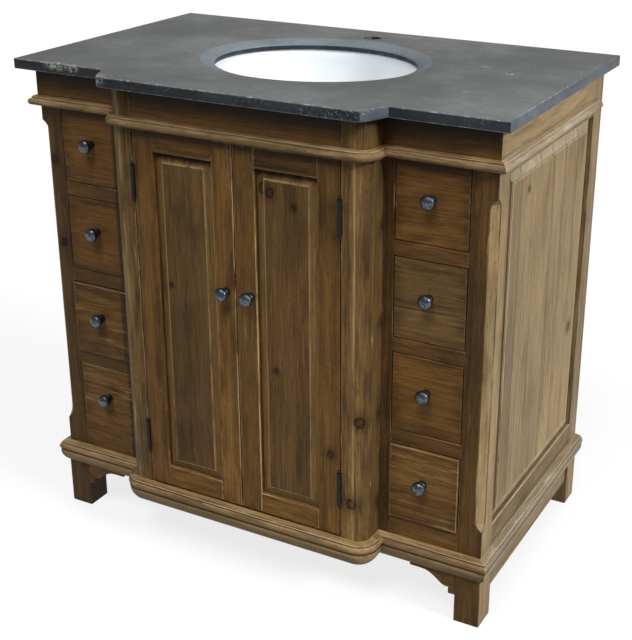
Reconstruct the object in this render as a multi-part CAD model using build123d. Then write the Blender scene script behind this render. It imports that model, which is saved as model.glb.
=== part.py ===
from build123d import *
import math
import os

# Breakfront washstand in reclaimed pine with a stone top and an oval under-mounted basin.
# Millimetres. X to the right, Y to the back, Z up. The origin is on the floor, under the middle of the top.

# Overall envelope
TOP_WIDTH = 914.0
TOP_DEPTH = 580.0
HEIGHT = 889.0
TOP_THICK = 18.0
BREAK_DEPTH = 49.0

# Stone outline: the centre steps forward with slanted, rounded corners
BREAK_HALF_BACK = 265.0
BREAK_HALF_FRONT = 243.0
BREAK_CORNER_R = 22.0
TOP_EASE = 1.2

# Stone openings: the bowl cut-out has a wide bevelled lip
BOWL_Y = 10.0
BOWL_HOLE = (182.0, 157.0)
LIP_WIDTH = 24.0
LIP_DROP = 7.5
TAP_Y = 228.0
TAP_R = 17.5

# Overhangs of the stone past the woodwork
OVERHANG_SIDE = 21.5
OVERHANG_FRONT = 28.5
OVERHANG_CENTRE = 28.0
OVERHANG_BACK = 6.5

# Heights of the woodwork
LEG_TOP_Z = 92.0
BASE_TOP_Z = 136.0
WAIST_Z = 804.5
WAIST_H = 17.5
APRON_Z = 50.0

# Posts, columns and boards
POST = 46.0
SHAFT_INSET = 3.0
FRIEZE_T = 14.0
FRAME_T = 22.0
BOARD_T = 18.0
COLUMN_IN = 197.0
COLUMN_OUT = 243.0
COLUMN_R = 22.0
BAY_IN = 263.0
CHAMFER = 13.0
CHAMFER_Z = {"left": (207.0, 766.0), "right": (207.0, 746.0)}
STOP_LEN = (24.0, 12.0)
STOP_POINT = 0.2

# Drawers, listed from the top one down
DRAWER_COUNT = 4
DRAWER_PITCH = 165.5
DRAWER_OPEN_H = 140.0
FIRST_OPEN_Z = 173.0
TOP_OPEN_Z = 803.0
GAP = 1.5
FRONT_T = 20.0
BOX_SIDE_T = 10.0
BOX_CLEAR_X = 2.5
BOX_H = 104.0
BOX_BACK_Y = 230.0
BOX_BOTTOM_T = 6.0
BOX_LIFT = 3.0
GROOVE = 4.0
RUNNER_H = 16.0
RUNNER_W = 17.0
RUNNER_PLAY = 0.6
GUIDE_T = 12.0
GUIDE_H = 30.0
PROUD = 5.0
PROUD_DRAWERS = (("left", 3), ("right", 4))

# Doors
DOOR_Z = (139.0, 802.0)
DOOR_STILE = 40.0
DOOR_FIELD_Z = (177.0, 767.0)
DOOR_GAP = 1.75
MEETING_GAP = 0.75
MEETING_BEVEL = 2.0
DOOR_KNOB_X = {"left": 18.0, "right": 30.0}
DOOR_KNOB_Z = 547.0
CATCH_X = (15.0, 45.0)
CATCH_H = 22.0

# Framed panels
PANEL_RECESS = 8.0
TONGUE_T = 8.0
TONGUE_IN = 7.0
PANEL_GROOVE = 8.0
PANEL_RISE = 4.0
PANEL_STEP = 2.0
DOOR_BEVEL = 15.0
SIDE_BEVEL = 20.0
SIDE_FIELD_Z = (178.0, 789.0)

# Hinges
HINGE_Z = ((204.0, 262.0), (683.0, 741.0))
LEAF_T = 1.2
LEAF_W = 20.0
BARREL_R = 3.8
BARREL_STAND = 4.3
PIN_R = 1.8
PIN_PLAY = 0.05
KNUCKLES = 5
KNUCKLE_GAP = 0.4
TIP_R = 2.9

# Knobs, turned
KNOB_LEN = 26.0
KNOB_HEAD_R = 12.0
KNOB_FOOT_R = 7.0
KNOB_NECK = (5.2, 3.4)
KNOB_RINGS = (((7.2, 5.0), (6.2, 6.6)), ((8.8, 8.4), (7.8, 10.0)), ((10.4, 11.8), (9.6, 13.2)))
KNOB_HEAD_END = (8.8, 23.4)
KNOB_LIFT = 8.5

# Basin
SEAL_T = 1.5
BASIN_RIM = 184.0
BASIN_FLANGE = 206.0
BASIN_FLANGE_T = 12.5
BASIN_DEPTH = 148.0
BASIN_WALL = 9.0
BASIN_SQUASH = BOWL_HOLE[1] / BOWL_HOLE[0]
BASIN_RINGS = ((1.0, 0.0), (0.985, 0.22), (0.93, 0.48), (0.80, 0.74), (0.58, 0.91), (0.28, 1.0))
DRAIN_R = 22.5
DRAIN_BOSS = 12.0
CLIP_ANGLES = (35.0, 145.0, 215.0, 325.0)
CLIP_W = 24.0
CLIP_T = 3.0
CLIP_REACH = 10.0
CLIP_FOOT = 16.0
SCREW_R = 2.4
SCREW_HOLE_R = 2.6
SCREW_IN_STONE = 10.0
SCREW_HEAD_R = 4.5
SCREW_HEAD_T = 3.0

# Back
BACK_T = 9.0
RAIL_BACK_T = 9.5
BACK_RAIL_H = (64.0, 90.0)
PIPE_OPENING_HALF = 150.0
PIPE_OPENING_Z = (300.0, 650.0)

# Front brackets, measured from the leg and down from the base moulding
BRACKET_T = 18.0
BRACKET_LEN = 84.0
BRACKET_DROP = 40.0
BRACKET_STEP = 12.0

# Planes worked out from the driving dimensions
TOP_Z = HEIGHT - TOP_THICK
BACK_EDGE_Y = TOP_DEPTH / 2
FRONT_EDGE_Y = -TOP_DEPTH / 2
WING_EDGE_Y = FRONT_EDGE_Y + BREAK_DEPTH
FACE_X = TOP_WIDTH / 2 - OVERHANG_SIDE
FACE_Y = WING_EDGE_Y + OVERHANG_FRONT
SHAFT_X = FACE_X - SHAFT_INSET
SHAFT_Y = FACE_Y + SHAFT_INSET
HEAD_X = FACE_X - FRIEZE_T
HEAD_Y = FACE_Y + FRIEZE_T
POST_IN_X = FACE_X - POST
POST_IN_Y = SHAFT_Y + POST
REAR_Y = BACK_EDGE_Y - OVERHANG_BACK
REAR_POST_Y = REAR_Y - POST
CENTRE_Y = FRONT_EDGE_Y + OVERHANG_CENTRE
FRAME_BACK_Y = SHAFT_Y + FRAME_T
DOOR_BACK_Y = CENTRE_Y + FRAME_T
PANEL_BACK_Y = REAR_Y - RAIL_BACK_T
BACK_FRONT_Y = PANEL_BACK_Y - BACK_T
FLANGE_TOP_Z = TOP_Z - SEAL_T
SIDES = {"left": -1, "right": 1}


def block(x, y, z):
    """Box between two values on each axis."""
    size = [abs(pair[1] - pair[0]) for pair in (x, y, z)]
    middle = [(pair[0] + pair[1]) / 2 for pair in (x, y, z)]
    return Pos(*middle) * Box(*size)


def sided(side, shape):
    """The shape as drawn for the right side, or its mirror image for the left."""
    return shape if side == "right" else mirror(shape, about=Plane.YZ)


def save(name, *pieces):
    """Write one sub-part, a single piece or a group of separate pieces."""
    solids = [solid for piece in pieces for solid in piece.solids()]
    shape = solids[0] if len(solids) == 1 else Compound(children=solids)
    export_step(shape, f"parts/{name}.step")


def save_sides(name, make):
    """Write the left and the right version of a piece."""
    for side in SIDES:
        save(f"{side}_{name}", *[sided(side, piece) for piece in make()])


# Stone top and basin


def stone_outline():
    """Half of the plan outline, mirrored into the whole slab."""
    half = Polyline(
        (0, BACK_EDGE_Y),
        (TOP_WIDTH / 2, BACK_EDGE_Y),
        (TOP_WIDTH / 2, WING_EDGE_Y),
        (BREAK_HALF_BACK, WING_EDGE_Y),
        (BREAK_HALF_FRONT, FRONT_EDGE_Y),
        (0, FRONT_EDGE_Y),
        close=True,
    )
    face = make_face(half)
    nose = face.vertices().sort_by_distance((BREAK_HALF_FRONT, FRONT_EDGE_Y))[0]
    face = fillet(nose, BREAK_CORNER_R)
    return face + mirror(face, about=Plane.YZ)


def clip_places():
    """Where each clip screw stands, just outside the basin's flange."""
    reach = BASIN_FLANGE + CLIP_FOOT / 2 + 1
    for angle in CLIP_ANGLES:
        turn = math.radians(angle)
        x = reach * math.cos(turn)
        y = BOWL_Y + reach * BASIN_SQUASH * math.sin(turn)
        yield x, y, angle


def stone_top():
    """Slab with an eased rim, the oval cut-out, the tap hole and the screw holes of the clips."""
    slab = extrude(Pos(0, 0, TOP_Z) * stone_outline(), amount=TOP_THICK)
    rim = slab.faces().sort_by(Axis.Z)[-1].outer_wire().edges()
    slab = chamfer(rim, TOP_EASE)
    slab -= extrude(Pos(0, BOWL_Y, TOP_Z) * Ellipse(*BOWL_HOLE), amount=TOP_THICK)
    lip = slab.edges().filter_by(GeomType.ELLIPSE).sort_by(Axis.Z)[-1]
    slab = chamfer(lip, LIP_WIDTH, LIP_DROP, reference=slab.faces().sort_by(Axis.Z)[-1])
    slab -= Pos(0, TAP_Y, TOP_Z + TOP_THICK / 2) * Cylinder(TAP_R, TOP_THICK)
    for x, y, _ in clip_places():
        slab -= Pos(x, y, TOP_Z + SCREW_IN_STONE / 2) * Cylinder(SCREW_HOLE_R, SCREW_IN_STONE)
    return slab


def bowl_skin(wall):
    """Solid bowl shape through oval rings, at a distance outside the inner skin."""
    rings = []
    for share, drop in BASIN_RINGS:
        half = BASIN_RIM * share + wall * (1 - 0.6 * drop)
        level = FLANGE_TOP_Z - (BASIN_DEPTH + wall) * drop
        rings.append(Pos(0, BOWL_Y, level) * Ellipse(half, half * BASIN_SQUASH))
    return loft(rings)


def basin():
    """Oval bowl with a level flange and a round waste outlet."""
    under_z = FLANGE_TOP_Z - BASIN_DEPTH - BASIN_WALL
    flange = Pos(0, BOWL_Y, FLANGE_TOP_Z) * Ellipse(BASIN_FLANGE, BASIN_FLANGE * BASIN_SQUASH)
    body = extrude(flange, amount=-BASIN_FLANGE_T) + bowl_skin(BASIN_WALL)
    body += Pos(0, BOWL_Y, under_z - DRAIN_BOSS / 2) * Cylinder(DRAIN_R + BASIN_WALL, DRAIN_BOSS)
    body -= bowl_skin(0)
    return body - Pos(0, BOWL_Y, under_z) * Cylinder(DRAIN_R, 4 * DRAIN_BOSS)


def basin_seal():
    """Flat ring between the flange and the stone."""
    ring = Ellipse(BASIN_FLANGE, BASIN_FLANGE * BASIN_SQUASH) - Ellipse(BASIN_RIM, BASIN_RIM * BASIN_SQUASH)
    return extrude(Pos(0, BOWL_Y, FLANGE_TOP_Z) * ring, amount=SEAL_T)


def basin_clips():
    """Stepped metal clips that hold the flange up against the stone."""
    flange_foot_z = FLANGE_TOP_Z - BASIN_FLANGE_T
    wide = (-CLIP_W / 2, CLIP_W / 2)
    clips = []
    for x, y, angle in clip_places():
        plate = block((-CLIP_REACH - CLIP_FOOT / 2, CLIP_FOOT / 2), wide, (-CLIP_T, 0))
        heel = block((CLIP_FOOT / 2 - CLIP_T, CLIP_FOOT / 2), wide, (0, TOP_Z - flange_foot_z))
        clip = plate + heel - Cylinder(SCREW_HOLE_R, 4 * CLIP_T)
        clips.append(Pos(x, y, flange_foot_z) * Rot(0, 0, angle) * clip)
    return clips


def clip_screws():
    """Screws from below through the clips into the stone."""
    head_z = FLANGE_TOP_Z - BASIN_FLANGE_T - CLIP_T
    shank_len = TOP_Z + SCREW_IN_STONE - 1 - head_z
    shank = Pos(0, 0, shank_len / 2) * Cylinder(SCREW_R, shank_len)
    head = Pos(0, 0, -SCREW_HEAD_T / 2) * Cylinder(SCREW_HEAD_R, SCREW_HEAD_T)
    return [Pos(x, y, head_z) * (shank + head) for x, y, _ in clip_places()]


# Carcass


def post_groove(post):
    """Take the panel's tongue groove out of a post."""
    low, high = SIDE_FIELD_Z
    slot_z = (low - PANEL_GROOVE, high + PANEL_GROOVE)
    slot_x = (SHAFT_X - PANEL_RECESS - TONGUE_T, SHAFT_X - PANEL_RECESS)
    return post - block(slot_x, (POST_IN_Y - PANEL_GROOVE, REAR_POST_Y + PANEL_GROOVE), slot_z)


def chamfer_wedge(size, level):
    """Triangle on the outer front arris of the shaft, at a level."""
    corners = Polyline((SHAFT_X, SHAFT_Y), (SHAFT_X - size, SHAFT_Y), (SHAFT_X, SHAFT_Y + size), close=True)
    return Pos(0, 0, level) * make_face(corners)


def front_post(low, high):
    """Leg, shaft and head in one length, with a chamfer on the outer arris that stops at two levels."""
    leg = block((POST_IN_X, FACE_X), (FACE_Y, POST_IN_Y), (0, LEG_TOP_Z))
    shaft = block((POST_IN_X, SHAFT_X), (SHAFT_Y, POST_IN_Y), (LEG_TOP_Z, WAIST_Z))
    head = block((POST_IN_X, HEAD_X), (HEAD_Y, POST_IN_Y), (WAIST_Z, TOP_Z))
    cut = extrude(chamfer_wedge(CHAMFER, low), amount=high - low)
    low_stop = loft([chamfer_wedge(STOP_POINT, low - STOP_LEN[0]), chamfer_wedge(CHAMFER, low)])
    high_stop = loft([chamfer_wedge(CHAMFER, high), chamfer_wedge(STOP_POINT, high + STOP_LEN[1])])
    return post_groove(leg + shaft + head - cut - low_stop - high_stop)


def back_post():
    """Leg and shaft in one length, square; the frieze and the waist moulding end against its front."""
    leg = block((POST_IN_X, FACE_X), (REAR_POST_Y, REAR_Y), (0, LEG_TOP_Z))
    shaft = block((POST_IN_X, SHAFT_X), (REAR_POST_Y, REAR_Y), (LEG_TOP_Z, TOP_Z))
    return [post_groove(leg + shaft)]


def column():
    """Corner of the breakfront, rounded on its outer edge, with the hinge leaves let in."""
    post = block((COLUMN_IN, COLUMN_OUT), (CENTRE_Y, FRAME_BACK_Y), (LEG_TOP_Z, TOP_Z))
    edge = post.edges().filter_by(Axis.Z).sort_by_distance((COLUMN_OUT, CENTRE_Y, HEIGHT / 2))[0]
    post = fillet(edge, COLUMN_R)
    for low, high in HINGE_Z:
        post -= block((COLUMN_IN, COLUMN_IN + LEAF_T), (CENTRE_Y, CENTRE_Y + LEAF_W), (low, high))
    return [post]


def wing_stile():
    """Narrow stile between the column and the drawers, set back behind the frieze."""
    shaft = block((COLUMN_OUT, BAY_IN), (SHAFT_Y, FRAME_BACK_Y), (LEG_TOP_Z, WAIST_Z))
    head = block((COLUMN_OUT, BAY_IN), (HEAD_Y, FRAME_BACK_Y), (WAIST_Z, TOP_Z))
    return shaft + head


def opening_z(number):
    """Bottom and top of a drawer opening, counted from the top one down."""
    low = FIRST_OPEN_Z + DRAWER_PITCH * (DRAWER_COUNT - number)
    return low, min(low + DRAWER_OPEN_H, TOP_OPEN_Z)


def drawer_rails():
    """Rails between the drawers, under the lowest one and behind the frieze."""
    width = (BAY_IN, POST_IN_X)
    rails = [block(width, (SHAFT_Y, FRAME_BACK_Y), (LEG_TOP_Z, FIRST_OPEN_Z))]
    for number in range(2, DRAWER_COUNT + 1):
        between_z = (opening_z(number)[1], opening_z(number - 1)[0])
        rails.append(block(width, (SHAFT_Y, FRAME_BACK_Y), between_z))
    rails.append(block(width, (HEAD_Y, FRAME_BACK_Y), (WAIST_Z, TOP_Z)))
    return rails


def partition():
    """Upright board between the cupboard and the drawers."""
    return [block((BAY_IN - BOARD_T, BAY_IN), (FRAME_BACK_Y, BACK_FRONT_Y), (BASE_TOP_Z, TOP_Z))]


def drawer_runners():
    """A ledge under each side of every drawer, and a guide beside its outer side."""
    strips = []
    for number in range(1, DRAWER_COUNT + 1):
        level = opening_z(number)[0]
        ledge_z = (level - RUNNER_H, level)
        outer = POST_IN_X + GUIDE_T
        strips.append(block((BAY_IN, BAY_IN + RUNNER_W), (FRAME_BACK_Y, BACK_FRONT_Y), ledge_z))
        strips.append(block((POST_IN_X - RUNNER_W, outer), (POST_IN_Y, REAR_POST_Y), ledge_z))
        strips.append(block((POST_IN_X, outer), (POST_IN_Y, REAR_POST_Y), (level, level + GUIDE_H)))
    return strips


def cabinet_floor():
    """One board in plan: between the columns at the front, notched round the four posts."""
    rail_x = SHAFT_X - FRAME_T
    floor_z = (BASE_TOP_Z - BOARD_T, BASE_TOP_Z)
    middle = block((-POST_IN_X, POST_IN_X), (FRAME_BACK_Y, BACK_FRONT_Y), floor_z)
    front = block((-COLUMN_IN, COLUMN_IN), (DOOR_BACK_Y, FRAME_BACK_Y), floor_z)
    ears = block((-rail_x, rail_x), (POST_IN_Y, REAR_POST_Y), floor_z)
    return middle + front + ears


def centre_rails():
    """Cross rails of the centre: under the doors and behind the frieze."""
    low = block((-COLUMN_IN, COLUMN_IN), (CENTRE_Y, DOOR_BACK_Y), (LEG_TOP_Z, BASE_TOP_Z))
    high = block((-COLUMN_IN, COLUMN_IN), (DOOR_BACK_Y, DOOR_BACK_Y + FRAME_T), (WAIST_Z, TOP_Z))
    return low, high


def door_catches():
    """Small blocks under the upper cross rail that the closed doors meet."""
    catch = block(CATCH_X, (DOOR_BACK_Y + 1, DOOR_BACK_Y + FRAME_T), (WAIST_Z - CATCH_H, WAIST_Z))
    return catch, mirror(catch, about=Plane.YZ)


def back_panel():
    """Thin sheet between the back posts, open in the middle for the pipes."""
    thick = (BACK_FRONT_Y, PANEL_BACK_Y)
    sheet = block((-POST_IN_X, POST_IN_X), thick, (LEG_TOP_Z, TOP_Z))
    return sheet - block((-PIPE_OPENING_HALF, PIPE_OPENING_HALF), thick, PIPE_OPENING_Z)


def back_rails():
    """Top and bottom rails behind the back panel."""
    span = (-POST_IN_X, POST_IN_X)
    thick = (PANEL_BACK_Y, REAR_Y)
    bottom = block(span, thick, (LEG_TOP_Z, LEG_TOP_Z + BACK_RAIL_H[0]))
    top = block(span, thick, (TOP_Z - BACK_RAIL_H[1], TOP_Z))
    return top, bottom


def raised_panel(plane, width, height, bevel):
    """Fielded panel with the front of its tongue on the plane: tongue, slope, then a small step up."""
    tongue = extrude(plane * Rectangle(width + 2 * TONGUE_IN, height + 2 * TONGUE_IN), amount=-TONGUE_T)
    lean = math.degrees(math.atan2(bevel, PANEL_RISE))
    slope = extrude(plane * Rectangle(width, height), amount=PANEL_RISE, taper=lean)
    raised = plane.offset(PANEL_RISE) * Rectangle(width - 2 * bevel, height - 2 * bevel)
    return tongue + slope + extrude(raised, amount=PANEL_STEP)


def side_rails():
    """Top and bottom rails of the side frame, grooved for the panel."""
    span = (POST_IN_Y, REAR_POST_Y)
    inside = SHAFT_X - FRAME_T
    low, high = SIDE_FIELD_Z
    groove_x = (SHAFT_X - PANEL_RECESS - TONGUE_T, SHAFT_X - PANEL_RECESS)
    bottom = block((inside, SHAFT_X), span, (LEG_TOP_Z, low))
    bottom -= block(groove_x, span, (low - PANEL_GROOVE, low))
    top = block((inside, SHAFT_X), span, (high, WAIST_Z)) + block((inside, HEAD_X), span, (WAIST_Z, TOP_Z))
    top -= block(groove_x, span, (high, high + PANEL_GROOVE))
    return [bottom, top]


def side_panel_plane():
    """Plane of the side panel's tongue, facing outwards."""
    low, high = SIDE_FIELD_Z
    centre = (SHAFT_X - PANEL_RECESS, (POST_IN_Y + REAR_POST_Y) / 2, (low + high) / 2)
    return Plane(centre, x_dir=(0, 1, 0), z_dir=(1, 0, 0))


def side_panel():
    """Raised panel of one side."""
    low, high = SIDE_FIELD_Z
    return [raised_panel(side_panel_plane(), REAR_POST_Y - POST_IN_Y, high - low, SIDE_BEVEL)]


def side_apron():
    """Board under the base moulding, between the legs."""
    return block((SHAFT_X - FRAME_T, SHAFT_X - 1), (POST_IN_Y, REAR_POST_Y), (APRON_Z, LEG_TOP_Z))


def leg_bracket():
    """Stepped ogee bracket between the leg and the underside of the base moulding."""
    leg = (POST_IN_X, LEG_TOP_Z - BRACKET_DROP)
    step_x = POST_IN_X - BRACKET_STEP
    shelf_z = leg[1] + BRACKET_STEP
    sweep_start = (step_x - 7, shelf_z)
    sweep_middle = (step_x - 24, shelf_z + 11)
    sweep_end = (step_x - 43, LEG_TOP_Z - 7)
    tip = (POST_IN_X - BRACKET_LEN, LEG_TOP_Z - 6)
    ogee = Spline(sweep_start, sweep_middle, sweep_end, tip, tangents=[(-1, 0.1), (-1, 0)])
    back = Polyline(tip, (tip[0], LEG_TOP_Z), (POST_IN_X, LEG_TOP_Z), leg)
    step = Polyline(leg, (step_x, leg[1]), (step_x, shelf_z), sweep_start)
    face = make_face([ogee, back, step])
    plane = Plane((0, FACE_Y, 0), x_dir=(1, 0, 0), z_dir=(0, -1, 0))
    return extrude(plane * face, amount=-BRACKET_T)


# Mouldings


def waist_profile():
    """Bead under a sloped fillet: distance from the wood against height."""
    bead = ThreePointArc((7, 0), (13, 6.2), (7.5, 12.5))
    cap = Polyline((7.5, 12.5), (6.5, 13.3), (8.2, 14.2), (8.0, 15.2), (0, WAIST_H), (0, 0), (7, 0))
    return make_face([bead, cap])


def base_profile():
    """Ovolo below, bead in the middle and a sloped cap: distance from the wood against height."""
    height = BASE_TOP_Z - LEG_TOP_Z
    ovolo = ThreePointArc((4, 0), (11.5, 10), (14.4, 24))
    quirk = Line((14.4, 24), (13.0, 25.4))
    bead = ThreePointArc((13.0, 25.4), (16.0, 32), (13.0, 38.4))
    cap = Polyline((13.0, 38.4), (11.8, 39.4), (12.6, 40.4), (12.2, 41.4), (0, height), (0, 0), (4, 0))
    return make_face([ovolo, quirk, bead, cap])


def facing(profile, angle, x, y, z):
    """The profile stood upright at a point, its outer side turned from +X by an angle."""
    upright = Plane.XZ * profile
    return Pos(x, y, z) * Rot(0, 0, angle) * upright


def mitre(piece, x, y, keep):
    """Cut a length along the mitre through a corner and keep one end."""
    return split(piece, bisect_by=Plane((x, y, 0), z_dir=(1, 1, 0)), keep=keep)


def moulding(profile, z, face_x, face_y, end_y):
    """The five lengths of one moulding: centre with its round corners, two wings, two sides up to a plane."""
    reach = 40
    bend_x = COLUMN_OUT - COLUMN_R
    bend_y = CENTRE_Y + COLUMN_R
    front = extrude(facing(profile, -90, -bend_x, CENTRE_Y, z), amount=2 * bend_x, dir=(1, 0, 0))
    corner_axis = Axis((bend_x, bend_y, 0), (0, 0, 1))
    corner = revolve(facing(profile, -90, bend_x, CENTRE_Y, z), corner_axis, revolution_arc=90)
    turn = extrude(facing(profile, 0, COLUMN_OUT, bend_y, z), amount=face_y - bend_y, dir=(0, 1, 0))
    turn = mitre(turn, COLUMN_OUT, face_y, Keep.BOTTOM)
    right_end = corner + turn
    centre = front + right_end + mirror(right_end, about=Plane.YZ)
    wing_len = face_x + reach - COLUMN_OUT
    wing = extrude(facing(profile, -90, COLUMN_OUT, face_y, z), amount=wing_len, dir=(1, 0, 0))
    wing = mitre(mitre(wing, COLUMN_OUT, face_y, Keep.TOP), face_x, face_y, Keep.BOTTOM)
    side_len = end_y - face_y + reach
    side = extrude(facing(profile, 0, face_x, face_y - reach, z), amount=side_len, dir=(0, 1, 0))
    side = mitre(side, face_x, face_y, Keep.TOP)
    return [centre] + [sided(name, piece) for name in SIDES for piece in (wing, side)]


def frieze_boards():
    """Boards between the waist moulding and the stone, mitred at the outer corners."""
    height = (WAIST_Z, TOP_Z)
    centre = block((-COLUMN_IN, COLUMN_IN), (CENTRE_Y, DOOR_BACK_Y), height)
    wing = mitre(block((COLUMN_OUT, FACE_X), (FACE_Y, HEAD_Y), height), FACE_X, FACE_Y, Keep.BOTTOM)
    side = mitre(block((HEAD_X, FACE_X), (FACE_Y, REAR_POST_Y), height), FACE_X, FACE_Y, Keep.TOP)
    return [centre] + [sided(name, piece) for name in SIDES for piece in (wing, side)]


# Doors and their hinges


def door_span():
    """Meeting edge and hinge edge of a door."""
    return MEETING_GAP, COLUMN_IN - DOOR_GAP


def door_frame():
    """Two stiles and two rails, grooved for the panel and let in for the hinges."""
    inner, outer = door_span()
    thick = (CENTRE_Y, DOOR_BACK_Y)
    low, high = DOOR_FIELD_Z
    field = (inner + DOOR_STILE, outer - DOOR_STILE)
    groove = block(
        (field[0] - PANEL_GROOVE, field[1] + PANEL_GROOVE),
        (CENTRE_Y + PANEL_RECESS, CENTRE_Y + PANEL_RECESS + TONGUE_T),
        (low - PANEL_GROOVE, high + PANEL_GROOVE),
    )
    plan = Polyline(
        (inner, CENTRE_Y),
        (field[0], CENTRE_Y),
        (field[0], DOOR_BACK_Y),
        (inner + MEETING_BEVEL, DOOR_BACK_Y),
        close=True,
    )
    meeting_stile = extrude(Pos(0, 0, DOOR_Z[0]) * make_face(plan), amount=DOOR_Z[1] - DOOR_Z[0]) - groove
    hanging_stile = block((field[1], outer), thick, DOOR_Z) - groove
    for z in HINGE_Z:
        hanging_stile -= block((outer - LEAF_T, outer), (CENTRE_Y, CENTRE_Y + LEAF_W), z)
    bottom_rail = block(field, thick, (DOOR_Z[0], low)) - groove
    top_rail = block(field, thick, (high, DOOR_Z[1])) - groove
    return [meeting_stile, hanging_stile, bottom_rail, top_rail]


def door_panel():
    """Raised panel of one door."""
    inner, outer = door_span()
    low, high = DOOR_FIELD_Z
    centre = ((inner + outer) / 2, CENTRE_Y + PANEL_RECESS, (low + high) / 2)
    plane = Plane(centre, x_dir=(1, 0, 0), z_dir=(0, -1, 0))
    return [raised_panel(plane, outer - inner - 2 * DOOR_STILE, high - low, DOOR_BEVEL)]


def hinge_axis():
    """Where the hinge pins stand in plan."""
    return COLUMN_IN - DOOR_GAP / 2, CENTRE_Y - BARREL_STAND


def knuckle_z(low, high, index):
    """Bottom and top of one knuckle, counted up from the lowest."""
    pitch = (high - low) / KNUCKLES
    return low + index * pitch + KNUCKLE_GAP / 2, low + (index + 1) * pitch - KNUCKLE_GAP / 2


def hinge_leaf(low, high, first, leaf_x):
    """Leaf plate in its pocket, with every other knuckle rolled round the pin."""
    axis_x, axis_y = hinge_axis()
    leaf = block(leaf_x, (CENTRE_Y, CENTRE_Y + LEAF_W), (low, high))
    for index in range(first, KNUCKLES, 2):
        z = knuckle_z(low, high, index)
        middle = (z[0] + z[1]) / 2
        barrel = Pos(axis_x, axis_y, middle) * Cylinder(BARREL_R, z[1] - z[0])
        web = block(leaf_x, (axis_y, CENTRE_Y), z)
        leaf += barrel + web
    axis_bore = Pos(axis_x, axis_y, (low + high) / 2) * Cylinder(PIN_R + PIN_PLAY, high - low)
    return leaf - axis_bore


def hinge_frame_leaves():
    """Leaves in the column, with three of the five knuckles."""
    return [hinge_leaf(low, high, 0, (COLUMN_IN, COLUMN_IN + LEAF_T)) for low, high in HINGE_Z]


def hinge_door_leaves():
    """Leaves in the door, with the other two knuckles."""
    outer = door_span()[1]
    return [hinge_leaf(low, high, 1, (outer - LEAF_T, outer)) for low, high in HINGE_Z]


def hinge_pins():
    """Pins with a small turned tip above and below the barrel."""
    axis_x, axis_y = hinge_axis()
    pins = []
    for low, high in HINGE_Z:
        shank = Pos(0, 0, (low + high) / 2) * Cylinder(PIN_R, high - low)
        tips = [Pos(0, 0, z) * Sphere(TIP_R) for z in (low - TIP_R - 0.2, high + TIP_R + 0.2)]
        necks = [Pos(0, 0, z) * Cylinder(PIN_R, 2 * TIP_R) for z in (low - TIP_R, high + TIP_R)]
        pin = shank + necks[0] + necks[1] + tips[0] + tips[1]
        pins.append(Pos(axis_x, axis_y, 0) * pin)
    return pins


def knob(x, y, z):
    """Turned knob: a foot, three rings that widen outwards and a rounded head."""
    foot = Polyline((0, 0), (KNOB_FOOT_R, 0), (KNOB_FOOT_R, 2.2), KNOB_NECK)
    rings = []
    start = KNOB_NECK
    for crest, end in KNOB_RINGS:
        rings.append(ThreePointArc(start, crest, end))
        start = end
    head = ThreePointArc(start, (KNOB_HEAD_R, 17.4), KNOB_HEAD_END)
    drop = KNOB_LEN - KNOB_HEAD_END[1]
    crown_r = (KNOB_HEAD_END[0] ** 2 + drop**2) / (2 * drop)
    half_turn = math.asin(KNOB_HEAD_END[0] / crown_r) / 2
    crown_middle = (crown_r * math.sin(half_turn), KNOB_LEN - crown_r * (1 - math.cos(half_turn)))
    crown = ThreePointArc(KNOB_HEAD_END, crown_middle, (0, KNOB_LEN))
    axis_line = Line((0, KNOB_LEN), (0, 0))
    face = make_face([foot, *rings, head, crown, axis_line])
    turned = revolve(face, Axis.Y)
    return Pos(x, y, z) * Rot(0, 0, 180) * turned


# Drawers


def drawer_offset(side, number):
    """How far a drawer stands out of its opening at rest."""
    return -PROUD if (side, number) in PROUD_DRAWERS else 0.0


def drawer_pieces(number):
    """Front, two sides, back and bottom of one drawer, shut flush."""
    low, high = opening_z(number)
    front_x = (BAY_IN + GAP, POST_IN_X - GAP)
    front_back_y = SHAFT_Y + FRONT_T
    box_x = (BAY_IN + BOX_CLEAR_X, POST_IN_X - BOX_CLEAR_X)
    box_z = (low + RUNNER_PLAY, low + BOX_H)
    inner_x = (box_x[0] + BOX_SIDE_T, box_x[1] - BOX_SIDE_T)
    back_y = (BOX_BACK_Y - BOX_SIDE_T, BOX_BACK_Y)
    bottom_z = (box_z[0] + BOX_LIFT + GROOVE, box_z[0] + BOX_LIFT + GROOVE + BOX_BOTTOM_T)
    bottom = block(
        (inner_x[0] - GROOVE, inner_x[1] + GROOVE), (front_back_y - GROOVE, back_y[0] + GROOVE), bottom_z
    )
    front = block(front_x, (SHAFT_Y, front_back_y), (low + GAP, high - GAP)) - bottom
    near_side = block((box_x[0], inner_x[0]), (front_back_y, BOX_BACK_Y), box_z) - bottom
    far_side = block((inner_x[1], box_x[1]), (front_back_y, BOX_BACK_Y), box_z) - bottom
    back = block(inner_x, back_y, box_z) - bottom
    return [front, near_side, far_side, back, bottom]


def drawer_knob(number):
    """Knob a little above the middle of a drawer front."""
    low, high = opening_z(number)
    return knob((BAY_IN + POST_IN_X) / 2, SHAFT_Y, (low + high) / 2 + KNOB_LIFT)


def save_drawers():
    """Write every drawer and its knob where it stands at rest."""
    for side in SIDES:
        for number in range(1, DRAWER_COUNT + 1):
            shift = Pos(0, drawer_offset(side, number), 0)
            pieces = [shift * sided(side, piece) for piece in drawer_pieces(number)]
            save(f"{side}_drawer_{number}", *pieces)
            save(f"{side}_drawer_{number}_knob", shift * sided(side, drawer_knob(number)))


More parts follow.
